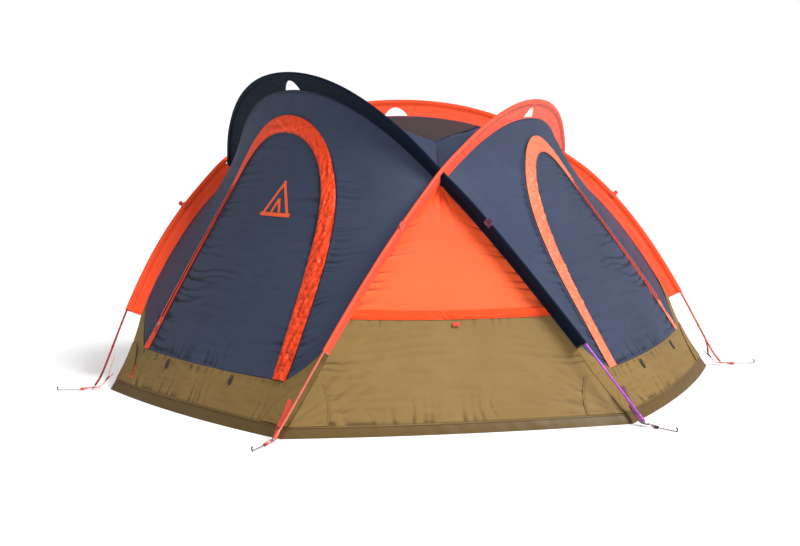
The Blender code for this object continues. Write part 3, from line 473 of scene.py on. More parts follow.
NAVY = (0.044, 0.057, 0.099)
DARK_NAVY = (0.0045, 0.0095, 0.0210)
TAN = (0.232, 0.146, 0.049)
DARK_TAN = (0.120, 0.071, 0.021)
ORANGE = (0.880, 0.072, 0.013)
# Painted light: the paler orange of the gussets' lower part, for the glow of light through the cloth.
PAINTED_GLOW_ORANGE = (0.900, 0.122, 0.034)
RED_ORANGE = (0.900, 0.068, 0.016)
PINK = (0.86, 0.11, 0.085)
PLUM = (0.040, 0.003, 0.014)
THREAD_DARK = (0.015, 0.020, 0.035)
MAT = {
    "navy": cloth("navy_cloth", NAVY, rough=0.50, sheen=0.06),
    "door": cloth("door_cloth", scaled_rgb(NAVY, 0.94), rough=0.50, sheen=0.06, crease_shade=0.85),
    "navy_seam": cloth("navy_seam_cloth", NAVY, rough=0.50, sheen=0.06,
                       lines=(("y", 0.008, STITCH, THREAD_DARK),)),
    "roof": cloth("roof_cloth", scaled_rgb(NAVY, 0.95), rough=0.56, sheen=0.03, mirror=0.05, crease_shade=0.25),
    "tan": cloth("tan_cloth", TAN, rough=0.55, sheen=0.05, grid=0.0, crinkle=0.45,
                 lines=(("y", 0.006, STITCH, scaled_rgb(TAN, 0.45)),)),
    "tub": cloth("tub_cloth", DARK_TAN, rough=0.42, sheen=0.05, grid=0.0, crinkle=0.6, mirror=0.25),
    # The orange gussets turn paler downward: a painted glow of light through the cloth.
    "orange": cloth("orange_cloth", ORANGE, rough=0.45, sheen=0.05, crinkle=0.25, vary=0.05,
                    low=(PAINTED_GLOW_ORANGE, 0.50, 0.90)),
    "hem": cloth("hem_cloth", scaled_rgb(ORANGE, 0.97), rough=0.45, sheen=0.05, grid=0.0, crinkle=0.8,
                 lines=(("y", 0.005, STITCH, scaled_rgb(ORANGE, 0.55)),)),
    "band_front": cloth("band_front_cloth", RED_ORANGE, rough=0.34, sheen=0.0, grid=0.0, crinkle=0.6,
                        gloss=0.20, vary=0.16, crease_shade=0.35,
                        lines=(("x", 0.0035, STITCH, scaled_rgb(RED_ORANGE, 0.5)),)),
    # Painted light: the right band is the same cloth as the front band, given a paler colour for the sheen it
    # shows in this light.
    "band_right": cloth("band_right_cloth", (0.920, 0.205, 0.110), rough=0.36, sheen=0.0, grid=0.0,
                        crinkle=0.5, gloss=0.10, vary=0.12, crease_shade=0.25,
                        lines=(("x", 0.0035, STITCH, RED_ORANGE),)),
    "zip": cloth("zip_cloth", RED_ORANGE, rough=0.40, sheen=0.0, grid=0.0, crinkle=0.3,
                 zip_line=(0.012, 0.0098, PINK, PLUM)),
    "fin_navy": cloth("navy_fin_cloth", DARK_NAVY, rough=0.55, sheen=0.04, crinkle=0.5, mirror=0.04,
                      lines=(("y", 0.020, STITCH, (0.030, 0.040, 0.060)),)),
    "fin_orange": cloth("orange_fin_cloth", (0.92, 0.072, 0.018), rough=0.48, sheen=0.05, crinkle=0.5,
                        lines=(("y", 0.020, STITCH, (0.6, 0.03, 0.01)),)),
    # Painted light: the right fin is the orange fin cloth, given a paler, pinker colour for the glow of light
    # through it.
    "fin_orange_painted_glow": cloth("orange_fin_painted_glow_cloth", (0.92, 0.100, 0.050), rough=0.48, sheen=0.05, crinkle=0.4,
                        lines=(("y", 0.020, STITCH, (0.6, 0.03, 0.01)),)),
    "mesh": cloth("mesh_cloth", (0.070, 0.048, 0.050), rough=0.8, sheen=0.1, weave=0.0015, grid=0.0,
                  crinkle=0.3, alpha=(0.50, 0.98, 0.0015)),
    "binding": cloth("binding_tape", (0.020, 0.028, 0.050), rough=0.6, sheen=0.0, grid=0.0, crinkle=0.2,
                     weave=0.0012),
    "print": cloth("printed_mark", (0.85, 0.120, 0.035), rough=0.55, sheen=0.0, crinkle=0.2),
    "webbing_red": webbing("webbing_red", (0.82, 0.050, 0.018), (0.5, 0.02, 0.008)),
    "webbing_plum": webbing("webbing_plum", (0.13, 0.010, 0.065), (0.05, 0.004, 0.025)),
    "purple": hard("purple_anodised", (0.36, 0.085, 0.46), 0.34, 0.7),
    "rust": hard("rust_anodised", (0.85, 0.20, 0.13), 0.36, 0.5),
    "brick": hard("brick_anodised", (0.62, 0.085, 0.050), 0.36, 0.6),
    # Painted shade: a darker copy of the brick finish, for the shaded half of the left pole.
    "brick_painted_shade": hard("brick_anodised_painted_shade", (0.36, 0.018, 0.028), 0.34, 0.6),
    "metal": hard("satin_aluminium", (0.42, 0.42, 0.44), 0.36, 0.9, scale=240.0, brushed=True),
    "dark_metal": hard("dark_tip", (0.045, 0.045, 0.050), 0.45, 0.4, scale=160.0),
    "plastic": hard("black_moulding", (0.018, 0.019, 0.023), 0.46, 0.0, scale=300.0, coat=0.1),
    "cord": hard("black_elastic", (0.022, 0.022, 0.028), 0.85, 0.0, scale=900.0),
}


# ---------------------------------------------------------------- mesh building
def add_mesh(name, points, faces, material, uvs=None, body="tent", slot=None, replaced=(), sharp=45):
    points = np.asarray(points, float).reshape(-1, 3)
    mesh = bpy.data.meshes.new(name)
    mesh.from_pydata(points.tolist(), [], [tuple(int(i) for i in f) for f in faces])
    if uvs is not None:
        layer = mesh.uv_layers.new(name="cloth")
        index = np.empty(len(mesh.loops), dtype=np.int32)
        mesh.loops.foreach_get("vertex_index", index)
        layer.data.foreach_set("uv", np.asarray(uvs, float).reshape(-1, 2)[index].ravel())
    mesh.shade_smooth()
    mesh.set_sharp_from_angle(angle=radians(sharp))
    mesh.materials.append(material)
    item = bpy.data.objects.new(name, mesh)
    bpy.context.scene.collection.objects.link(item)
    if body:
        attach(item, body)
    if replaced:
        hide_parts(*replaced)
    return item


def grid_faces(rows, columns, closed=False, flip=False):
    faces = []
    for r in range(rows - 1):
        for c in range(columns if closed else columns - 1):
            d = (c + 1) % columns
            quad = (r * columns + c, r * columns + d, (r + 1) * columns + d, (r + 1) * columns + c)
            faces.append(quad[::-1] if flip else quad)
    return faces


def capped_faces(rows, columns):
    """Faces of a closed section swept through rows, with both ends capped."""
    last = (rows - 1) * columns
    caps = [tuple(reversed(range(columns))), tuple(range(last, last + columns))]
    return grid_faces(rows, columns, closed=True) + caps


def normals_of(grid):
    return unit(np.cross(np.gradient(grid, axis=1), np.gradient(grid, axis=0)))


def metres(grid):
    """Cloth coordinates in metres: along each row, and up the columns."""
    steps = [np.linalg.norm(np.diff(grid, axis=axis), axis=2) for axis in (1, 0)]
    across = np.cumsum(np.pad(steps[0], ((0, 0), (1, 0))), axis=1)
    up = np.cumsum(np.pad(steps[1], ((1, 0), (0, 0))), axis=0)
    return np.stack([across - across[:, -1:] / 2, up], axis=-1)


def cut_xy(grid):
    """A grid's cloth coordinates as two tables, and the distance below its top row."""
    x, y = np.moveaxis(metres(grid), -1, 0)
    return x, y, y[-1:] - y


def mean_of(values, reach):
    """A running mean over a grid, reach cells each way."""
    for axis in (0, 1):
        padded = np.pad(values, [(reach + 1, reach) if k == axis else (0, 0) for k in (0, 1)], mode="edge")
        total = np.cumsum(padded, axis=axis)
        span = 2 * reach + 1
        ahead, behind = range(span, total.shape[axis]), range(total.shape[axis] - span)
        values = (np.take(total, ahead, axis) - np.take(total, behind, axis)) / span
    return values


def mark_crease_shade(item, rise):
    """Marks how deep each point lies in a crease, for the painted shade that the cloth's colour puts there.
    """
    depth = mean_of(rise, 4) - rise
    shade = np.clip(depth / 0.0011, 0.0, 1.0)
    layer = item.data.attributes.new("fold", "FLOAT", "POINT")
    layer.data.foreach_set("value", shade.astype(np.float32).ravel())


def sheet_piece(name, grid, rise, material, held="stretched", uv=None, **where):
    """A cloth surface: grid points raised by rise along their normals."""
    cut = metres(grid)
    width = np.ptp(cut[..., 0], axis=1).max()
    length = cut[-1, :, 1].max()
    cross = np.cross(np.diff(grid, axis=1)[:-1], np.diff(grid, axis=0)[:, :-1])
    area = float(np.linalg.norm(cross, axis=2).sum())
    width = max(width, area / length * 1.001)
    points = grid + normals_of(grid) * np.asarray(rise)[..., None]
    rows, columns = grid.shape[:2]
    item = add_mesh(name, points, grid_faces(rows, columns), material, cut if uv is None else uv, **where)
    mark_crease_shade(item, np.broadcast_to(rise, (rows, columns)))
    if area < 0.31 * width * length:
        width = area / length
    return item, points


def frames_along(path):
    """Tangents and two steady perpendiculars along a path."""
    tangent = unit(np.gradient(path, axis=0))
    side = np.cross(tangent[0], UP if abs(tangent[0] @ UP) < 0.9 else np.array([1.0, 0.0, 0.0]))
    sides = []
    for t in tangent:
        side = unit(side - (side @ t) * t)
        sides.append(side)
    sides = np.array(sides)
    return tangent, sides, np.cross(tangent, sides)


def tube(name, path, radius, material, sides=14, **where):
    path = np.asarray(path, float)
    _, a, b = frames_along(path)
    radius = np.broadcast_to(np.asarray(radius, float), (len(path),))
    turn = 2 * pi * np.arange(sides) / sides
    ring = np.cos(turn)[None, :, None] * a[:, None] + np.sin(turn)[None, :, None] * b[:, None]
    points = path[:, None] + ring * radius[:, None, None]
    run = run_length(path)
    girth = (np.arange(sides) / sides)[None] * 2 * pi * radius.max()
    uv = np.stack(np.broadcast_arrays(girth, run[:, None]), -1)
    return add_mesh(name, points, capped_faces(len(path), sides), material, uv, **where)


# Across and above its middle, as shares of half the width and half the thickness.
STRIP_SECTION = ((-0.97, -0.6), (-0.88, 1), (-0.3, 1), (0.3, 1),
                 (0.88, 1), (0.97, -0.6), (0.3, -1), (-0.3, -1))


def ribbon(name, path, normal, width, thick, material, **where):
    """A flat strap along a path: a rounded strip section lying square to normal."""
    path = np.asarray(path, float)
    tangent = unit(np.gradient(path, axis=0))
    normal = np.broadcast_to(np.asarray(normal, float), path.shape)
    side = unit(np.cross(tangent, normal))
    normal = np.cross(side, tangent)
    width = np.broadcast_to(np.asarray(width, float), (len(path),))[:, None]
    loops = [path + side * (w * width / 2) + normal * (h * thick / 2) for w, h in STRIP_SECTION]
    across = np.array([(w + 1) / 2 for w, _ in STRIP_SECTION])
    uv = np.stack(np.broadcast_arrays(across[None], run_length(path)[:, None]), -1)
    return add_mesh(name, np.stack(loops, axis=1), capped_faces(len(path), len(loops)), material, uv, **where)


def lathe(name, centre, axis, profile, material, sides=20, **where):
    """A turned piece along an axis from (distance, radius) pairs."""
    centre, axis = np.asarray(centre, float), unit(np.asarray(axis, float))
    path = np.array([centre + axis * z for z, _ in profile])
    side = unit(np.cross(axis, UP if abs(axis @ UP) < 0.9 else np.array([1.0, 0.0, 0.0])))
    other = np.cross(axis, side)
    turn = 2 * pi * np.arange(sides) / sides
    ring = np.cos(turn)[:, None] * side + np.sin(turn)[:, None] * other
    points = path[:, None] + ring[None] * np.array([r for _, r in profile])[:, None, None]
    return add_mesh(name, points, capped_faces(len(path), sides), material, sharp=35, **where)


def smooth_path(points, count):
    """A rounded path through a few points."""
    points = np.asarray(points, float)
    ends = np.vstack([2 * points[0] - points[1], points, 2 * points[-1] - points[-2]])
    t = np.linspace(0, len(points) - 1, count)
    i = np.minimum(t.astype(int), len(points) - 2)
    w = cubic((t - i)[:, None])
    return spaced(sum(w[k] * ends[i + k] for k in range(4)), count)


# ---------------------------------------------------------------- walls and floor
def wall_line(face, u):
    """Height share of the tan wall's edge: level, with rounded corners climbing to the hems."""
    v = 0.166 + 0.0 * u
    for _ in range(40):
        v = v + (WALL_HEIGHT - face.at(u, v)[..., 2]) / 1.15
    edge = np.clip((np.abs(2 * u - 1) - 0.76) / 0.24, 0.0, 1.0)
    return v + 0.217 * (1 - (1 - edge**1.5) ** (1 / 1.5))


def corner_columns(count):
    """Shares across a face, closer together near its sides."""
    t = np.linspace(-1, 1, count)
    return 0.5 + 0.5 * np.sign(t) * (1 - (1 - np.abs(t)) ** 1.35)


def make_wall(name, face):
    u = corner_columns(361)[None]
    t = np.linspace(0, 1, 45)[:, None]
    grid = face.at(u, TUB_SHARE + t * (wall_line(face, u) - TUB_SHARE))
    x, y, below = cut_xy(grid)
    near = np.minimum(x - x[:, :1], x[:, -1:] - x)
    low = y + 0.02
    rise = 0.0022 * noise(x * 5, y * 9, 1) + 0.0014 * folds(x * 6 + y * 9, y * 22, 2)
    ray = np.arctan2(low, near + 0.03)
    rise += 0.0050 * np.exp(-np.hypot(near, low) / 0.11) * folds(ray * 5.5, near * 9, 3)
    rise += gathers(x, y, 0.034, 0.045, 0.0040, 0)
    rise += gathers(x + 3, below, 0.026, 0.020, 0.0022, 4)
    rise *= np.minimum(1.0, np.minimum(y, below) / 0.008)
    item, _ = sheet_piece(f"wall_{name}_cloth", grid, rise, MAT["tan"], slot="tan_fabric",
                          replaced=[f"wall_{name}"])
    return item


def make_corner_patch(name, face, end):
    """The second layer sewn over the lower corner of a face, with its stitched edge."""
    s = np.linspace(0.004, 1, 31)[None]
    q = np.linspace(0.004, 1, 41)[:, None]
    u = s * 0.115 * (1 - 0.62 * q**1.6)
    grid = face.at(1 - u if end else u, TUB_SHARE + 0.006 + q * 0.150 + 0.0 * s)
    if end:
        grid = grid[:, ::-1]
    x, y, _ = cut_xy(grid)
    near = (x[:, -1:] - x) if end else (x - x[:, :1])
    ray = np.arctan2(y + 0.01, near + 0.02)
    rise = 0.0034 + 0.0026 * np.exp(-np.hypot(near, y) / 0.08) * folds(ray * 6, near * 9, 3)
    edge = (x - x[:, :1]) if end else (x[:, -1:] - x)
    uv = np.stack([y, edge], -1)
    sheet_piece(f"corner_patch_{name}", grid, rise, MAT["tan"], uv=uv, slot="tan_fabric")


def gusset_grid(face, low, high, rows, columns):
    """A grid on a gusset, its top row cut short of the point and a little wide."""
    u = np.linspace(0, 1, columns)[None]
    v = low + np.linspace(0, 1, rows)[:, None] * (high - low)
    width = np.linalg.norm(face.at(1.0, v) - face.at(0.0, v), axis=-1)
    inset = 0.0008 / np.maximum(width, 0.0032)
    return face.at(inset + u * (1 - 2 * inset), v)


def make_gusset(name, face):
    low = gusset_grid(face, TUB_SHARE, GUSSET_SEAM, 101, 221)
    x, y, below = cut_xy(low)
    near = np.abs(x[:, -1:]) - np.abs(x)
    rise = 0.0028 * noise(x * 3.4, y * 4, 1) + 0.0011 * folds(x * 4 + y * 3, y * 15, 2)
    ray = np.arctan2(y + 0.02, near + 0.03)
    rise += 0.0056 * np.exp(-np.hypot(near, y) / 0.12) * folds(ray * 5.2 + np.sign(x), near * 8, 3)
    rise += gathers(y, near, 0.030, 0.070, 0.0030, 2) * np.exp(-y / 0.30)
    rise += gathers(x, y, 0.036, 0.035, 0.0034, 0)
    rise += gathers(x, below, 0.028, 0.018, 0.0016, 4)
    rise *= np.minimum(1.0, y / 0.008)
    sheet_piece(f"wall_gusset_{name}_cloth", low, rise, MAT["tan"], slot="tan_fabric",
                replaced=[f"wall_gusset_{name}"])
    high = gusset_grid(face, GUSSET_SEAM, 0.990, 151, 141)
    x, y, top = cut_xy(high)
    spoke = x / np.maximum(np.abs(x[:, -1:]), 1e-4)
    width = np.minimum(1.0, np.abs(x[:, -1:]) / 0.05)
    reach = 0.080 * (1 + 0.4 * noise(spoke * 3 + 4, 0 * spoke + 2.2, 1))
    pleat = np.abs(np.sin(spoke * 6.2 + 0.5)) - 0.6
    rise = 0.0068 * width * np.exp(-((top / reach) ** 1.4)) * pleat
    rise += 0.0030 * noise(x * 3.5, y * 3.5, 2) + 0.0008 * folds(x * 5, y * 11, 3)
    near = np.abs(x[:, -1:]) - np.abs(x)
    rise += gathers(y, near, 0.034, 0.045, 0.0026, 1)
    rise *= np.minimum(1.0, np.minimum(y, top) / 0.006)
    sheet_piece(f"gusset_{name}_cloth", high, rise, MAT["orange"], slot="orange_fabric",
                replaced=[f"gusset_{name}"])
    u = np.linspace(0.006, 0.994, 221)[None]
    t = np.linspace(0, 1, 15)[:, None]
    hem = face.at(u, GUSSET_SEAM - 0.004 + t * 0.037)
    x, y, _ = cut_xy(hem)
    pull = np.exp(-np.hypot(x, y) / 0.075) * folds(np.arctan2(x, y + 0.012) * 4, y * 12, 2)
    rise = 0.0020 + 0.0036 * t**1.5 + 0.0030 * pull + 0.0012 * folds(x * 9, y * 26, 4)
    rise = np.where(t > 0.97, 0.0004, rise)
    sheet_piece(f"gusset_{name}_hem", hem, rise, MAT["hem"], slot="orange_fabric")
    spot, normal, up, _ = face.frame_at(0.006, 0.372)
    bends = ((0.006, 0.004), (0.008, -0.003), (0.007, -0.010))
    loop = [spot + normal * out + up * rise for out, rise in bends]
    ribbon(f"gusset_{name}_tab", smooth_path(loop, 8), normal, 0.026, 0.0020, MAT["webbing_red"],
           slot="webbing_red")


def make_tub():
    order = (FACES["front"], GUSSETS["right_front"], FACES["right"], GUSSETS["rear"], FACES["left"],
             GUSSETS["left_front"])
    u = np.linspace(0, 1, 97)[:-1]
    heights = (0.0, 0.25, 0.5, 0.75, 1.0)
    rings = [np.vstack([face.at(u, 0.0 * u + TUB_SHARE * t) for face in order]) for t in heights]
    wall = np.stack(rings)
    count = wall.shape[1]
    run = run_length(np.vstack([wall[0], wall[0][:1]]))[:-1]
    out = unit(wall * np.array([1.0, 1.0, 0.0]))
    wave = folds(run * 26, 0.0 * run, 1) + 0.6 * folds(run * 9, 0.0 * run + 5, 2)
    shape = np.array([0.0, 0.8, 1.0, 0.7, 0.0])[:, None]
    wall = wall + out * (0.0024 * shape * wave + 0.0016 * shape)[..., None]
    floor = [wall[0] * k + UP * 0.0002 for k in (0.02, 0.35, 0.7, 0.97)]
    points = np.concatenate([np.stack(floor), wall])
    uv = np.stack(np.broadcast_arrays(run[None], np.arange(len(points))[:, None] * 0.0105), -1)
    faces = grid_faces(len(points), count, closed=True) + [tuple(range(count))]
    item = add_mesh("tub_floor_cloth", points, faces, MAT["tub"], uv, slot="tan_fabric",
                    replaced=["tub_floor"], sharp=60)
    bead = wall[-1] + out[-1] * 0.0012
    tube("tub_seam", np.vstack([bead, bead[:2]]), 0.0016, MAT["tub"], sides=6, slot="tan_fabric")


# ---------------------------------------------------------------- doors
def outline(shape, count):
    half_width, top, inset, rise, top_pull = shape
    t = np.linspace(0, 1, count)
    return bezier(np.array([half_width, SILL_HEIGHT]), np.array([half_width - inset, SILL_HEIGHT + rise]),
                  np.array([top_pull, top]), np.array([0.0, top]), t)


def door_edge(name, count):
    right = outline(DOOR_OUTLINES[name], count)
    return np.vstack([right * [-1, 1], right[-2::-1]])


def band_edge(name, count, wide_side):
    broad = outline(BAND_OUTLINES[name], count)
    inner = outline(DOOR_OUTLINES[name], count)
    out = broad - inner
    reach = np.linalg.norm(out, axis=1)[:, None]
    full = np.clip((np.linspace(0, 1, count)[:, None] - 0.55) / 0.45, 0.0, 1.0)
    full = full * full * (3 - 2 * full)
    narrow = inner + out / reach * (BAND_NARROW + full * (reach - BAND_NARROW))
    narrow[0, 1] = SILL_HEIGHT
    left, right = (broad, narrow) if wide_side < 0 else (narrow, broad)
    return np.vstack([left * [-1, 1], right[-2::-1]])


def gathers(along, off, pitch, reach, depth, layer=0):
    """Fine pleats that run in from a sewn edge and fade, some longer and deeper than others."""
    length = reach * (1 + 0.8 * noise(along / (pitch * 2.7) + 5, 0 * along + 3.3, layer))
    deep = 0.9 + 0.9 * noise(along / (pitch * 5) + 9, 0 * along + 8.1, layer)
    wander = 0.45 * noise(off * 14, along * 6, layer + 1)
    pleat = np.minimum(np.abs(noise(along / pitch + wander, off * 2.5, layer)), 0.5) - 0.3
    return 2.2 * depth * deep * pleat * np.exp(-off / length) * np.minimum(1.0, off / 0.005 + 0.2)


def make_surround(name, wide_side):
    face = FACES[name]
    band = spaced(band_edge(name, 331, wide_side), 661)
    u, v = face.locate(band[:, 0], band[:, 1])
    inner = np.stack([u, v], -1)
    count = len(band)
    low = float(wall_line(face, np.array([0.0]))[0])
    legs = 250
    leg = np.linspace(low, 1.0, legs)
    over = np.linspace(0, 1, count - 2 * legs + 2)
    border = np.vstack([np.stack([0 * leg, leg], -1)[:-1], np.stack([over, 0 * over + 1], -1),
                        np.stack([0 * leg + 1, leg[::-1]], -1)[1:]])
    t = np.linspace(0, 1, 61)[:, None] ** 0.9
    shares = inner[None] * (1 - t[..., None]) + border[None] * t[..., None]
    turned = 150
    for edge, step in ((0, 1), (-1, -1)):
        foot_u = inner[edge, 0] + t[:, 0] * (border[edge, 0] - inner[edge, 0])
        shift = np.stack([foot_u, wall_line(face, foot_u)], -1) - shares[:, edge]
        for k in range(turned):
            shares[:, edge + step * k] += (1 - k / turned) ** 2 * shift
    grid = face.at(shares[..., 0], shares[..., 1])
    off = np.linalg.norm(grid - grid[:1], axis=2)
    rim = np.linalg.norm(grid - grid[-1:], axis=2)
    run = run_length(grid[0])[None] + 0 * off
    lateral = grid @ face.across
    tall = grid[..., 2]
    legs_only = np.clip(1.15 - (tall - 0.30) / 0.75, 0.12, 1.0)
    rise = gathers(run, off, 0.0155, 0.055, 0.0036, 1) * legs_only
    rise += gathers(tall, rim, 0.021, 0.030, 0.0030, 2) * legs_only
    rise += 0.0048 * noise(lateral * 4, tall * 3, 3) + 0.0014 * folds(lateral * 6, tall * 13, 4)
    rise *= np.minimum(1.0, np.minimum(off, rim) / 0.007)
    uv = np.stack([lateral, rim], -1)
    sheet_piece(f"surround_{name}_cloth", grid, rise, MAT["navy_seam"], uv=uv, slot="navy_fabric",
                replaced=[f"surround_{name}"])


def make_band(name, wide_side):
    face = FACES[name]
    count = 641
    inner, outer = door_edge(name, 321), band_edge(name, 321, wide_side)
    full = np.linalg.norm(outer - inner, axis=1)
    broad = np.clip((full - BAND_NARROW - 0.004) / 0.022, 0.0, 1.0)[None]
    across = np.linspace(0, 1, 17)[:, None]
    reach = (outer - inner)[None] * (-0.04 + (1.06 + 0.22 * (1 - broad)) * across)[..., None]
    line = inner[None] + reach
    line[..., 1] = np.maximum(line[..., 1], SILL_HEIGHT - 0.002)
    line = np.stack([spaced(row, count) for row in line])
    broad = np.interp(np.linspace(0, 1, count), np.linspace(0, 1, broad.shape[1]), broad[0])[None]
    grid = face.at(*face.locate(line[..., 0], line[..., 1]))
    run = run_length(grid[8])[None]
    x = np.linalg.norm(grid - grid[:1], axis=2)
    puff = np.sin(pi * across) ** 0.6
    rise = 0.0034 + (0.0034 * broad + 0.0012) * puff
    crumple = 0.0090 * folds(run * 22 + x * 26, x * 34 + run * 7, 0) + 0.0070 * folds(run * 50, x * 30, 2)
    crumple += 0.0050 * folds(run * 36 - x * 60, x * 24, 3)
    rise = rise + crumple * (0.05 + 0.95 * broad) * np.minimum(1.0, puff * 1.6)
    uv = np.stack(np.broadcast_arrays(x, run), -1)
    sheet_piece(f"band_{name}_cloth", grid, rise, MAT[f"band_{name}"], uv=uv, slot="orange_band",
                replaced=[f"band_{name}"])
    on_leg = (np.arange(count) - count / 2) * wide_side < 0
    chosen = np.flatnonzero(on_leg & (grid[8, :, 2] > ZIP_LOW) & (grid[8, :, 2] < ZIP_HIGH))
    end = np.clip((ZIP_HIGH - grid[8, chosen, 2]) / 0.05, 0.12, 1.0)
    share = np.minimum(1.0, 0.048 / x[-1, chosen]) * 16
    w = np.linspace(-1, 1, 9)[:, None]
    weight = share * (0.50 + 0.40 * w * end)
    whole = np.minimum(weight.astype(int), 15)
    part = (weight - whole)[..., None]
    strip = grid[whole, chosen] * (1 - part) + grid[whole + 1, chosen] * part
    rise = 0.0066 + 0.0010 * (np.abs(w) < 0.5) + 0.0 * strip[..., 0]
    uv = np.stack(np.broadcast_arrays(0.012 + w * 0.0105, run_length(strip[4])[None]), -1)
    sheet_piece(f"zip_{name}", strip, rise, MAT["zip"], uv=uv, slot="orange_band")


def make_door(name, zip_side):
    face = FACES[name]
    legs = outline(DOOR_OUTLINES[name], 400)
    legs = spaced(legs[:388], 231)
    x = np.linspace(-1, 1, 141)
    half_width = np.maximum(legs[:, :1] - 0.0010, 0.012)
    height = legs[:, 1:] + 0.0 * x
    grid = face.at(*face.locate(half_width * x, height))
    lateral, tall = half_width * x, height
    edge = (1 - np.abs(x)) * half_width
    toward = np.clip(0.5 + zip_side * x * 3, 0, 1)
    top = legs[-1, 1] - tall
    upper = np.clip(1.25 - (tall - 0.25) / 0.62, 0.10, 1.0)
    rise = gathers(tall + 0.06 * zip_side * lateral, edge, 0.018, 0.150, 0.0062, 2) * toward * upper
    rise += gathers(tall, edge, 0.020, 0.050, 0.0034, 4) * (1 - toward) * upper
    rise += 0.0052 * noise(lateral * 3.2, tall * 2.6, 1) + 0.0016 * folds(lateral * 3.5, tall * 15, 3)
    rise += gathers(lateral, tall - SILL_HEIGHT, 0.040, 0.045, 0.0034, 0)
    rise *= np.minimum(1.0, np.minimum(np.minimum(edge, top + 0.004), tall - SILL_HEIGHT) / 0.010)
    item, _ = sheet_piece(f"door_{name}_cloth", grid, rise, MAT["door"], body=None, slot="navy_fabric",
                          replaced=[f"door_{name}"])
    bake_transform(item)
    return item


def make_plain_wall():
    face = FACES["left"]
    u = corner_columns(201)[None]
    low = wall_line(face, u)
    t = np.linspace(0, 1, 191)[:, None]
    grid = face.at(u, low + t * (1 - low))
    lateral, tall = grid @ face.across, grid[..., 2]
    rim = np.minimum(np.linalg.norm(grid - grid[:, :1], axis=2), np.linalg.norm(grid - grid[:, -1:], axis=2))
    top = np.linalg.norm(grid - grid[-1:], axis=2)
    foot = np.linalg.norm(grid - grid[:1], axis=2)
    rise = gathers(tall, rim, 0.022, 0.050, 0.0034, 2) + gathers(lateral, foot, 0.036, 0.040, 0.0030, 1)
    rise += 0.0050 * noise(lateral * 3, tall * 3, 3) + 0.0015 * folds(lateral * 4, tall * 13, 4)
    rise *= np.minimum(1.0, np.minimum(np.minimum(rim, top), foot) / 0.008)
    sheet_piece("plain_wall_cloth", grid, rise, MAT["navy"], slot="navy_fabric", replaced=["plain_wall"])


# ---------------------------------------------------------------- roof
# Each arch with the two that cross it, the one nearer its own start first.
CROSSED_BY = (("front", "left", "right"), ("right", "front", "left"), ("left", "right", "front"))


def make_roof():
    parts = []
    for name, first, last in CROSSED_BY:
        edge = top_edge(name, seam_meeting(name, first), seam_meeting(name, last))
        parts.append(spaced(edge, 97)[:-1])
    loop = np.vstack(parts)
    waves = np.fft.fft(loop, axis=0) / len(loop)
    order = np.fft.fftfreq(len(loop)) * len(loop)
    shift = np.array([0.12, -0.08, 0.0])

    def film(w):
        """The soap film over the loop, read at places of the unit disc."""
        w = w[..., None]
        basis = np.abs(w) ** np.abs(order) * np.exp(1j * order * np.angle(w))
        return (basis @ waves).real + (1 - np.abs(w) ** 2) * shift

    vertex = -0.40 + 0.55j
    peak = film(np.array([vertex]))[0]
    first, last = 216, 250

    def fan(low, high, steps):
        """Cloth pulled from the seam's vertex to the loop, nearly straight, with a little swell."""
        ends = np.exp(2j * pi * np.arange(low, high + 1) / len(loop))[None]
        swell = film(vertex + steps[:, None] * (ends - vertex))
        straight = peak + steps[:, None, None] * (film(ends) - peak)
        return straight * 0.85 + swell * 0.15

    steps = np.concatenate([[1.0, 0.996, 0.988, 0.976, 0.96, 0.94], np.linspace(0.915, 0.010, 44)])
    navy = fan(last, len(loop) + first, steps)
    x, y = navy[..., 0], navy[..., 1]
    rim = np.linalg.norm(navy - navy[:1], axis=2)
    rise = (0.0040 * noise(x * 4, y * 4, 1) + 0.0014 * folds(x * 9, y * 12, 2)) * np.minimum(1.0, rim / 0.03)
    uv = np.stack([x, y], -1)
    sheet_piece("roof_cloth", navy, rise, MAT["roof"], uv=uv, slot="navy_fabric", replaced=["roof"])
    window = fan(first, last, np.linspace(0.968, 0.010, 60))
    sheet_piece("roof_mesh_cloth", window, 0.0 * window[..., 0], MAT["mesh"], uv=window[..., :2], slot="mesh",
                replaced=["roof_mesh"])
    rim_piece = fan(first - 1, last + 1, np.linspace(1.0, 0.962, 5))
    sheet_piece("roof_mesh_rim", rim_piece, 0.0004 + 0.0 * rim_piece[..., 0], MAT["roof"], slot="navy_fabric")
    for k, (end, width) in enumerate(((first, 0.010), (last, 0.010), (96, 0.006))):
        path = fan(end, end, np.linspace(0.985, 0.012, 50))[:, 0] + UP * 0.0016
        ribbon(f"roof_seam_{k + 1}", path, UP, width, 0.0010, MAT["binding"], slot="navy_fabric")


# ---------------------------------------------------------------- fins, poles
SLEEVE = ((0.0215, 0.0008), (0.0180, 0.0010), (0.0140, 0.0034), (0.0095, 0.0060), (0.0045, 0.0068),
          (0.0, 0.0067), (-0.0040, 0.0054), (-0.0064, 0.0026), (-0.0070, 0.0))


NOTCH_STEPS = (-0.0134, -0.0128, -0.006, 0.006, 0.0128, 0.0134)


def fin_stations(arch):
    start = HEM_FROM_FOOT / arch.length
    marks = set(np.round(np.linspace(start, 1 - start, 301), 6))
    marks |= set(np.round(0.5 + np.linspace(-0.062, 0.062, 41) / arch.length, 6))
    for centre, lift in arch.lifts:
        if lift > 0:
            marks |= {round(centre + d / arch.length, 6) for d in NOTCH_STEPS}
    return np.array(sorted(marks))


def vent_cut(arch, s):
    """The half-moon hole against the seam: round on one side, steeper on the other."""
    t = (s - 0.5) * arch.length / VENT_HALF_WIDTH
    power = np.where(t < 0, 1.5, 2.6) if arch.name != "left" else 1.9 + 0.0 * t
    return VENT_HEIGHT * np.clip(1 - np.abs(np.clip(t, -1, 1)) ** power, 0.0, 1.0)


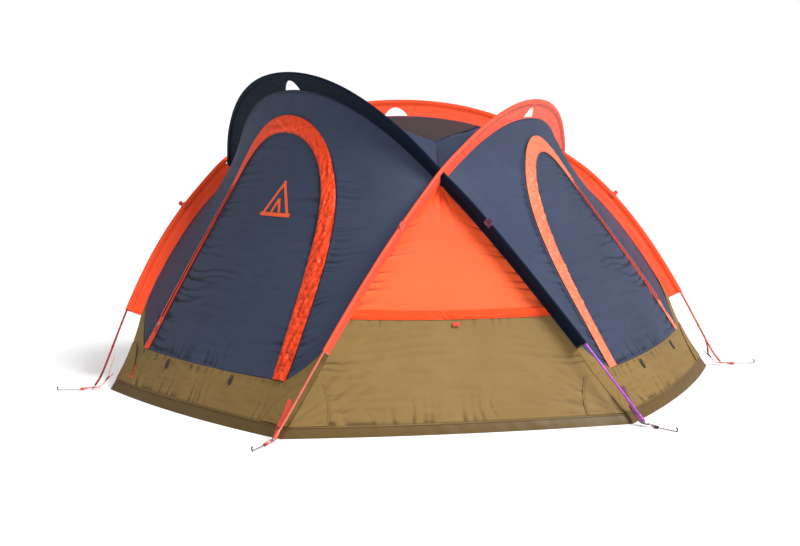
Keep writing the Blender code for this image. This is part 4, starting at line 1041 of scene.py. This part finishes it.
def make_fin(name, material, slot):
    arch = ARCHES[name]
    s = fin_stations(arch)
    inward, line, axis = arch.read(arch.inward, s), arch.read(arch.points, s), arch.axis(s)
    depth = arch.seam_depth(s) - 0.0005 - vent_cut(arch, s)
    cut = np.zeros(len(s), bool)
    for centre, lift in arch.lifts:
        if lift > 0:
            cut |= np.abs(s - centre) * arch.length < 0.0130
    run = (s * arch.length)[:, None]
    web = np.linspace(1.0, 0.0, 9)
    columns, texture = [], []
    lift = arch.lift(s)
    root = SLEEVE[0][0]
    for side in (1.0, -1.0):
        part, marks = [], []
        for k in web[:-1]:
            reach = root + k * np.maximum(depth + lift - root, 0.0)
            reach = np.where(cut, root - 0.0080 + k * 0.0006, reach)
            flare = np.sin(pi * min(1.0, 1.15 * k)) * (1 - k * 0.3)
            sway = 0.0030 * noise(run[:, 0] * 9, k * 1.5 + 0 * s, 3)
            sway = sway + 0.0020 * folds(run[:, 0] * 30, k * 2 + 0 * s, 4)
            sway = np.where(cut, 0.0, sway * flare)
            part.append(axis + inward * reach[:, None] + arch.normal * (sway + side * 0.0007)[:, None])
            marks.append(reach)
        for down, out in SLEEVE:
            down = np.where(cut, min(down, 0.0135), down)
            pucker = 1 + 0.07 * noise(run[:, 0] * 26, 0.3 * down * 100, 5)
            part.append(axis + inward * down[:, None] + arch.normal * (side * out * pucker)[:, None])
            marks.append(down + 0.0 * s)
        columns += part if side > 0 else part[-2::-1]
        texture += marks if side > 0 else marks[-2::-1]
    grid = np.stack(columns, axis=1)
    uv = np.stack([np.broadcast_to(run, grid.shape[:2]), np.stack(texture, axis=1)], -1)
    item = add_mesh(f"fin_{name}_cloth", grid, grid_faces(*grid.shape[:2]), material, uv, slot=slot,
                    replaced=[f"fin_{name}"], sharp=70)
    item.visible_diffuse = False
    tape = webbing_slot(name)
    for k, end in enumerate((0, -1)):
        down = np.linspace(-0.0062, depth[end], 14)[:, None]
        path = axis[end] + inward[end] * down
        ribbon(f"fin_{name}_end_{k + 1}", path, arch.normal, 0.007, 0.0034, MAT[tape], slot=tape)
    s = s[~cut]
    keep = arch.seam(s) + arch.read(arch.inward, s) * 0.0004
    gaps = np.flatnonzero(np.linalg.norm(np.diff(keep, axis=0), axis=1) > 0.020) + 1
    for k, part in enumerate(np.split(keep, gaps)):
        ribbon(f"seam_{name}_{k + 1}", part, arch.normal, 0.0045, 0.0042,
               MAT["binding"] if name == "front" else material, slot=slot)


POLE_SLOTS = {"front": "pole_purple", "right": "pole_red", "left": "pole_red"}
# The left pole's second half, with its ferrule and tip collar, takes the darker brick copy: painted shade.
POLE_FINISHES_AND_SHADE = {"front": ("purple", "purple"), "right": ("rust", "rust"), "left": ("brick", "brick_painted_shade")}


def pole_material(name, side):
    return MAT[POLE_FINISHES_AND_SHADE[name][side]]


def make_pole(name):
    arch = ARCHES[name]
    start = 0.060 / arch.length
    path = arch.axis(np.linspace(start, 1 - start, 301))
    for side, part in enumerate((path[:151], path[150:])):
        tube(f"pole_{name}_{('left', 'right')[side]}", part, POLE_RADIUS, pole_material(name, side), sides=16,
             slot=POLE_SLOTS[name], replaced=[] if side else [f"pole_{name}"])
        share = 0.205 / arch.length
        share = 1 - share if side else share
        at = arch.axis(share + np.array([-0.006, 0.006]) / arch.length)
        lathe(f"ferrule_{name}_{side + 1}", at[0], at[1] - at[0],
              ((0, 0.0043), (0.0008, 0.0048), (0.0112, 0.0048), (0.012, 0.0043)), pole_material(name, side),
              slot=POLE_SLOTS[name])


def webbing_slot(name):
    return "webbing_plum" if name == "front" else "webbing_red"


def feet():
    found = [(a.azimuth + (90.0 if side else -90.0), n, side) for n, a in ARCHES.items() for side in (0, 1)]
    return [(k + 1, *foot) for k, foot in enumerate(sorted(found, key=lambda f: f[0] % 360.0))]


def make_foot(number, azimuth, name, side):
    arch = ARCHES[name]
    out, across = direction(azimuth), across_axis(azimuth)
    slot = webbing_slot(name)
    cloth_material = MAT[slot]
    shares = np.array([0.0590, 0.008]) / arch.length
    top, end = arch.read(arch.points, 1 - shares if side else shares)
    length = float(np.linalg.norm(end - top))
    collar = ((0.0, 0.0040), (0.0006, 0.00435), (0.0150, 0.00435), (0.0160, 0.0041), (0.0170, 0.00435),
              (0.0330, 0.00425), (0.0345, 0.0034))
    lathe(f"pole_tip_{number}_collar", top, end - top, collar, pole_material(name, side), slot="metal",
          replaced=[f"pole_tip_{number}"])
    spike = ((0.0330, 0.0026), (0.0340, 0.0030),
             (length - 0.006, 0.0029), (length - 0.0015, 0.0028), (length, 0.0020))
    lathe(f"pole_tip_{number}_spike", top, end - top, spike, MAT["metal"], slot="metal")
    flat = 0.0048 + 0.0042 + 0.0008
    pin = end + (top - end) * (0.0098 - end[2]) / (top[2] - end[2])

    def at(r, z, offset=0.0):
        return out * r + UP * z + across * offset

    route = smooth_path([at(1.249, 0.064), at(1.274, 0.042), at(1.298, 0.0175), at(1.312, flat + 0.0006),
                         at(1.326, flat)], 22)
    ribbon(f"strap_{number}", route, UP + out * 0.6, 0.020, 0.0018, cloth_material, slot=slot,
           replaced=[f"corner_strap_{number}"])
    for k, sign in enumerate((-1, 1)):
        lane = smooth_path([at(1.325, flat, sign * 0.0080), at(1.336, flat, sign * 0.0084),
                            at(1.352, flat, sign * 0.0068), at(1.368, flat, sign * 0.0045)], 10)
        ribbon(f"strap_{number}_side_{k + 1}", lane, UP, 0.0042, 0.0018, cloth_material, slot=slot)
    loop = np.array([at(1.376, 0.0049) + UP * 0.0044 * sin(a) * 1.02 + across * 0.0056 * cos(a)
                     for a in np.radians(np.linspace(-90, 270, 25))])
    tangent = unit(np.gradient(loop, axis=0))
    section = ((-0.007, 0.0), (-0.007, 0.0011), (0.007, 0.0011), (0.007, 0.0))
    stack = np.stack([loop + out * w + np.cross(out, tangent) * -lift for w, lift in section], axis=1)
    stack[..., 2] += max(0.0, 0.0003 - stack[..., 2].min())
    add_mesh(f"stake_loop_{number}", stack, grid_faces(len(loop), 4, closed=True), cloth_material, slot=slot)
    ring = []
    for z, r in ((flat - 0.0014, 0.0062), (flat + 0.0014, 0.0062), (flat + 0.0018, 0.0072),
                 (flat + 0.0014, 0.0088), (flat - 0.0014, 0.0088), (flat - 0.0018, 0.0072)):
        ring.append([(np.array([pin[0], pin[1], z]) + r * (cos(a) * out + sin(a) * across))
                     for a in 2 * pi * np.arange(28) / 28])
    ring = np.array(ring)
    add_mesh(f"eyelet_{number}", np.vstack([ring, ring[:1]]), grid_faces(7, 28, closed=True), MAT["metal"],
             slot="metal")
    base = at(1.272, 0.0440)
    slope = unit(at(1.298, 0.0175) - at(1.274, 0.042))
    lift = unit(np.cross(across, slope))
    lift = lift if lift @ UP > 0 else -lift
    for k, along in enumerate((-0.009, 0.0, 0.009)):
        rod = [base + slope * along + lift * 0.0022 + across * w for w in np.linspace(-0.0115, 0.0115, 5)]
        tube(f"adjuster_{number}_bar_{k + 1}", rod, 0.0015, MAT["plastic"], sides=10, slot="black_plastic")
    for k, sign in enumerate((-1, 1)):
        rail = [base + across * sign * 0.0115 + slope * a + lift * 0.0022
                for a in np.linspace(-0.0100, 0.0100, 5)]
        tube(f"adjuster_{number}_rail_{k + 1}", rail, 0.0017, MAT["plastic"], sides=10, slot="black_plastic")
    lean = 1 if number > 3 else -1
    tail = smooth_path([base + lift * 0.003, base - slope * 0.014 + lift * 0.006 + across * lean * 0.004,
                        at(1.262, 0.082, lean * 0.016), at(1.250, 0.112, lean * 0.026),
                        at(1.240, 0.138, lean * 0.031)], 24)
    ribbon(f"strap_tail_{number}", tail, out + UP * 0.4, 0.019, 0.0016, cloth_material, slot=slot)


def make_stake(number, azimuth):
    out = direction(azimuth)
    bend, z, end = 0.007, 0.0048, 1.476
    path = [out * r + UP * z for r in (1.3500, 1.3515, 1.356, 1.38, 1.42, 1.45, end - bend)]
    for turn in range(12, 169, 12):
        a = radians(turn)
        path.append(out * (end - bend + bend * sin(a)) + UP * (z + bend - bend * cos(a)))
    radius = np.full(len(path), 0.0023)
    radius[:3] = (0.0004, 0.0012, 0.0021)
    tube(f"stake_{number}_rod", path, radius, MAT["metal"], sides=12, body=f"stake_{number}", slot="metal",
         replaced=[f"stake_{number}"])
    tube(f"stake_{number}_hook", path[-14:], 0.0026, MAT["dark_metal"], sides=12,
         body=f"stake_{number}", slot="metal")


def make_guy_tab(number, name, side):
    arch = ARCHES[name]
    s = np.array([0.225 if side == 0 else 0.775])
    inward = arch.read(arch.inward, s)[0]
    along = np.cross(arch.normal, inward)
    base = arch.axis(s)[0] - inward * 0.0064
    slot = webbing_slot(name)
    loop = np.array([base - inward * (0.0095 + 0.0095 * cos(a)) + arch.normal * 0.0026 * sin(a)
                     for a in np.radians(np.linspace(0, 360, 21)[:-1])])
    out = unit(loop - loop.mean(axis=0))
    stack = np.stack([loop - along * 0.0088, loop + along * 0.0088, loop + along * 0.0088 + out * 0.0011,
                      loop - along * 0.0088 + out * 0.0011], axis=1)
    around = [(0.0170, 0.0022), (0.0120, 0.0056), (0.0060, 0.0078), (0.0, 0.0078),
              (-0.0050, 0.0062), (-0.0078, 0.0030), (-0.0083, 0.0)]
    around += [(down, -wide) for down, wide in around[-2::-1]]
    axis = arch.axis(s)[0]
    wrap = smooth_path([axis + inward * down + arch.normal * wide for down, wide in around], 40)
    middle = axis + inward * 0.004
    ribbon(f"guy_patch_{number}", wrap, unit(wrap - middle), 0.030, 0.0012, MAT[slot], slot=slot)
    rolled = np.concatenate([stack, stack[:1]])
    add_mesh(f"guy_tab_{number}_loop", rolled, grid_faces(len(rolled), 4, closed=True), MAT[slot], slot=slot,
             replaced=[f"guy_tab_{number}"])


def lie_on(surface, point, normal, proud):
    """A point brought down onto a cloth piece along its normal, a little proud of it."""
    spot = surface.ray_cast(Vector(point + normal * 0.05), Vector(-normal))[0]
    return (point if spot is None else np.array(spot)) + normal * proud


def make_mark(name, face, item, body, across, height, size):
    """A plain printed pictogram of a ridge tent: two slopes, a ground line and a door flap."""
    strokes = (((-0.62, 0.0), (0.04, 1.0)), ((0.62, 0.0), (-0.04, 1.0)), ((-0.74, 0.0), (0.74, 0.0)),
               ((0.0, 0.46), (-0.20, 0.06)), ((0.0, 0.46), (0.20, 0.06)))
    mesh = item.data
    normal = face.frame_at(across, height + size / 2)[1]
    surface = BVHTree.FromPolygons([v.co for v in mesh.vertices], [list(q.vertices) for q in mesh.polygons])
    for k, (start, end) in enumerate(strokes):
        start, end = np.array(start) * size, np.array(end) * size
        side = np.array([start[1] - end[1], end[0] - start[0]])
        side = side / np.linalg.norm(side) * size * 0.055
        w, t = np.linspace(-1, 1, 4)[:, None, None], np.linspace(0, 1, 25)[None, :, None]
        plan = (start + (end - start) * t + side * w).reshape(-1, 2)
        spots = face.at(*face.locate(across + plan[:, 0], height + plan[:, 1]))
        points = [lie_on(surface, spot, normal, 0.0008 + 0.0002 * k) for spot in spots]
        grid = np.array(points).reshape(4, 25, 3)
        add_mesh(f"{name}_{k + 1}", points, grid_faces(4, 25), MAT["print"], metres(grid), body=body,
                 slot="orange_fabric")


def make_toggle(name, label, across):
    face = FACES[name]
    body = f"toggle_{name}_{label}"
    spot, normal, up, side = face.frame_at(across, SILL_HEIGHT - 0.014)
    top = spot + normal * 0.0048
    profile = ((0.0, 0.0014), (0.0012, 0.0024), (0.006, 0.0026), (0.010, 0.0036), (0.014, 0.0040),
               (0.026, 0.0040), (0.032, 0.0036), (0.036, 0.0026), (0.038, 0.0010))
    lathe(f"{body}_bar", top, -up, profile, MAT["plastic"], body=body, slot="black_plastic", replaced=[body])
    loop = [top - up * (0.014 - 0.017 * cos(a)) + side * 0.0085 * sin(a) + normal * 0.001
            for a in np.linspace(0, 2 * pi, 25)]
    tube(f"{body}_elastic", loop, 0.0015, MAT["cord"], sides=8, body=body, slot="black_plastic")


def make_slider(name, narrow_side):
    face = FACES[name]
    body = f"zip_slider_{name}"
    spot, normal, up, side = face.frame_at(narrow_side * 0.452, 0.270)
    lift = spot + normal * 0.0072

    def slab(label, sizes, material):
        loops = []
        for along, half, low, high in sizes:
            centre = lift + up * along
            ring = []
            for a in 2 * pi * (np.arange(12) + 0.5) / 12:
                x = np.sign(cos(a)) * abs(cos(a)) ** 0.5 * half
                y = (low + high) / 2 + np.sign(sin(a)) * abs(sin(a)) ** 0.5 * (high - low) / 2
                ring.append(centre + side * x + normal * y)
            loops.append(ring)
        return add_mesh(f"{body}_{label}", np.array(loops), capped_faces(len(loops), 12), material, body=body,
                        slot="metal")

    block = slab("block", ((0.007, 0.0026, 0, 0.0020), (0.005, 0.0044, 0, 0.0034), (0.0, 0.0046, 0, 0.0038),
                           (-0.006, 0.0036, 0, 0.0034), (-0.0075, 0.0024, 0, 0.0022)), MAT["metal"])
    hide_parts(body)
    slab("pull", ((-0.004, 0.0014, 0.0036, 0.0050), (-0.010, 0.0018, 0.0030, 0.0044),
                  (-0.016, 0.0034, 0.0014, 0.0030), (-0.028, 0.0036, 0.0012, 0.0030),
                  (-0.034, 0.0022, 0.0012, 0.0026)), MAT["plastic"])


# ---------------------------------------------------------------- put it together
make_tub()
for key, surface in FACES.items():
    wall = make_wall(key, surface)
    if key == "front":
        make_mark("wall_mark", surface, wall, "tent", -0.505, 0.066, 0.042)
for key, surface in GUSSETS.items():
    make_gusset(key, surface)
for key, surface in (*FACES.items(), *GUSSETS.items()):
    for end, word in enumerate(("left", "right")):
        make_corner_patch(f"{key}_{word}", surface, end)
for key, wide in (("front", 1), ("right", -1)):
    make_surround(key, wide)
    make_band(key, wide)
    door = make_door(key, -wide)
    if key == "front":
        make_mark("door_mark", FACES[key], door, "door_front", 0.085, 0.735, 0.125)
    for word, sign in (("left", -1), ("right", 1)):
        make_toggle(key, word, sign * 0.235)
    make_slider(key, -wide)
make_plain_wall()
make_roof()
# The right fin's cloth carries a painted glow; the side fins are the same orange cloth.
for key, finish_and_glow, finish_slot in (("front", "fin_navy", "fin_navy"), ("right", "fin_orange_painted_glow", "fin_orange"),
                                 ("left", "fin_orange", "fin_orange")):
    make_fin(key, MAT[finish_and_glow], finish_slot)
for key in ARCHES:
    make_pole(key)
for foot_number, foot_azimuth, foot_arch, foot_side in feet():
    make_foot(foot_number, foot_azimuth, foot_arch, foot_side)
    make_stake(foot_number, foot_azimuth)
    make_guy_tab(foot_number, foot_arch, foot_side)


# ---------------------------------------------------------------- camera, floor, light
def make_camera():
    heading, pitch, roll = 4.0587, -0.1154, 0.0161
    forward = Vector((sin(heading) * cos(pitch), -cos(heading) * cos(pitch), sin(pitch)))
    right = forward.cross(Vector((0, 0, 1))).normalized()
    up = right.cross(forward)
    x = right * cos(roll) - up * sin(roll)
    y = right * sin(roll) + up * cos(roll)
    turn = Matrix((x, y, -forward)).transposed()
    data = bpy.data.cameras.new("camera")
    data.lens = 72.87
    data.sensor_width = 36.0
    camera = bpy.data.objects.new("camera", data)
    camera.matrix_world = Matrix.Translation((5.2834, -4.1208, 1.2174)) @ turn.to_4x4()
    bpy.context.scene.collection.objects.link(camera)
    bpy.context.scene.camera = camera


def sun_light(name, azimuth, elevation, power, softness):
    data = bpy.data.lights.new(name, "SUN")
    data.energy = power
    data.angle = radians(softness)
    item = bpy.data.objects.new(name, data)
    toward = direction(azimuth) * cos(radians(elevation)) + UP * sin(radians(elevation))
    item.rotation_euler = Vector(toward).to_track_quat("Z", "Y").to_euler()
    bpy.context.scene.collection.objects.link(item)


def make_world():
    """White where the camera sees it, and a dimmer even light on the tent."""
    world = bpy.data.worlds.new("studio")
    world.use_nodes = True
    tree = world.node_tree
    ground = tree.nodes["Background"]
    seen = tree.nodes.new("ShaderNodeLightPath")
    strength = node(tree, "ShaderNodeMapRange", Value=seen.outputs["Is Camera Ray"], i3=0.32, i4=1.0)
    tree.links.new(strength.outputs[0], ground.inputs[1])
    ground.inputs[0].default_value = (1.0, 1.0, 1.0, 1.0)
    bpy.context.scene.world = world


def make_stage():
    """A pale floor under an even sky, and two soft suns."""
    half = 60.0
    corners = [(x * half, y * half, -0.001) for x, y in ((-1, -1), (1, -1), (1, 1), (-1, 1))]
    mesh = bpy.data.meshes.new("floor")
    mesh.from_pydata(corners, [], [(0, 1, 2, 3)])
    material, _, shader = tree_of("pale_floor")
    shader.inputs["Base Color"].default_value = (0.86, 0.86, 0.86, 1.0)
    shader.inputs["Roughness"].default_value = 0.9
    shader.inputs["Emission Color"].default_value = (1.0, 1.0, 1.0, 1.0)
    shader.inputs["Emission Strength"].default_value = 0.24
    mesh.materials.append(material)
    floor = bpy.data.objects.new("floor", mesh)
    bpy.context.scene.collection.objects.link(floor)
    make_world()
    sun_light("key", 14.0, 40.0, 3.9, 22.0)
    sun_light("top", -60.0, 66.0, 0.7, 22.0)
    bpy.context.scene.view_settings.view_transform = "Standard"
    bpy.context.scene.view_settings.look = "None"


make_camera()
make_stage()
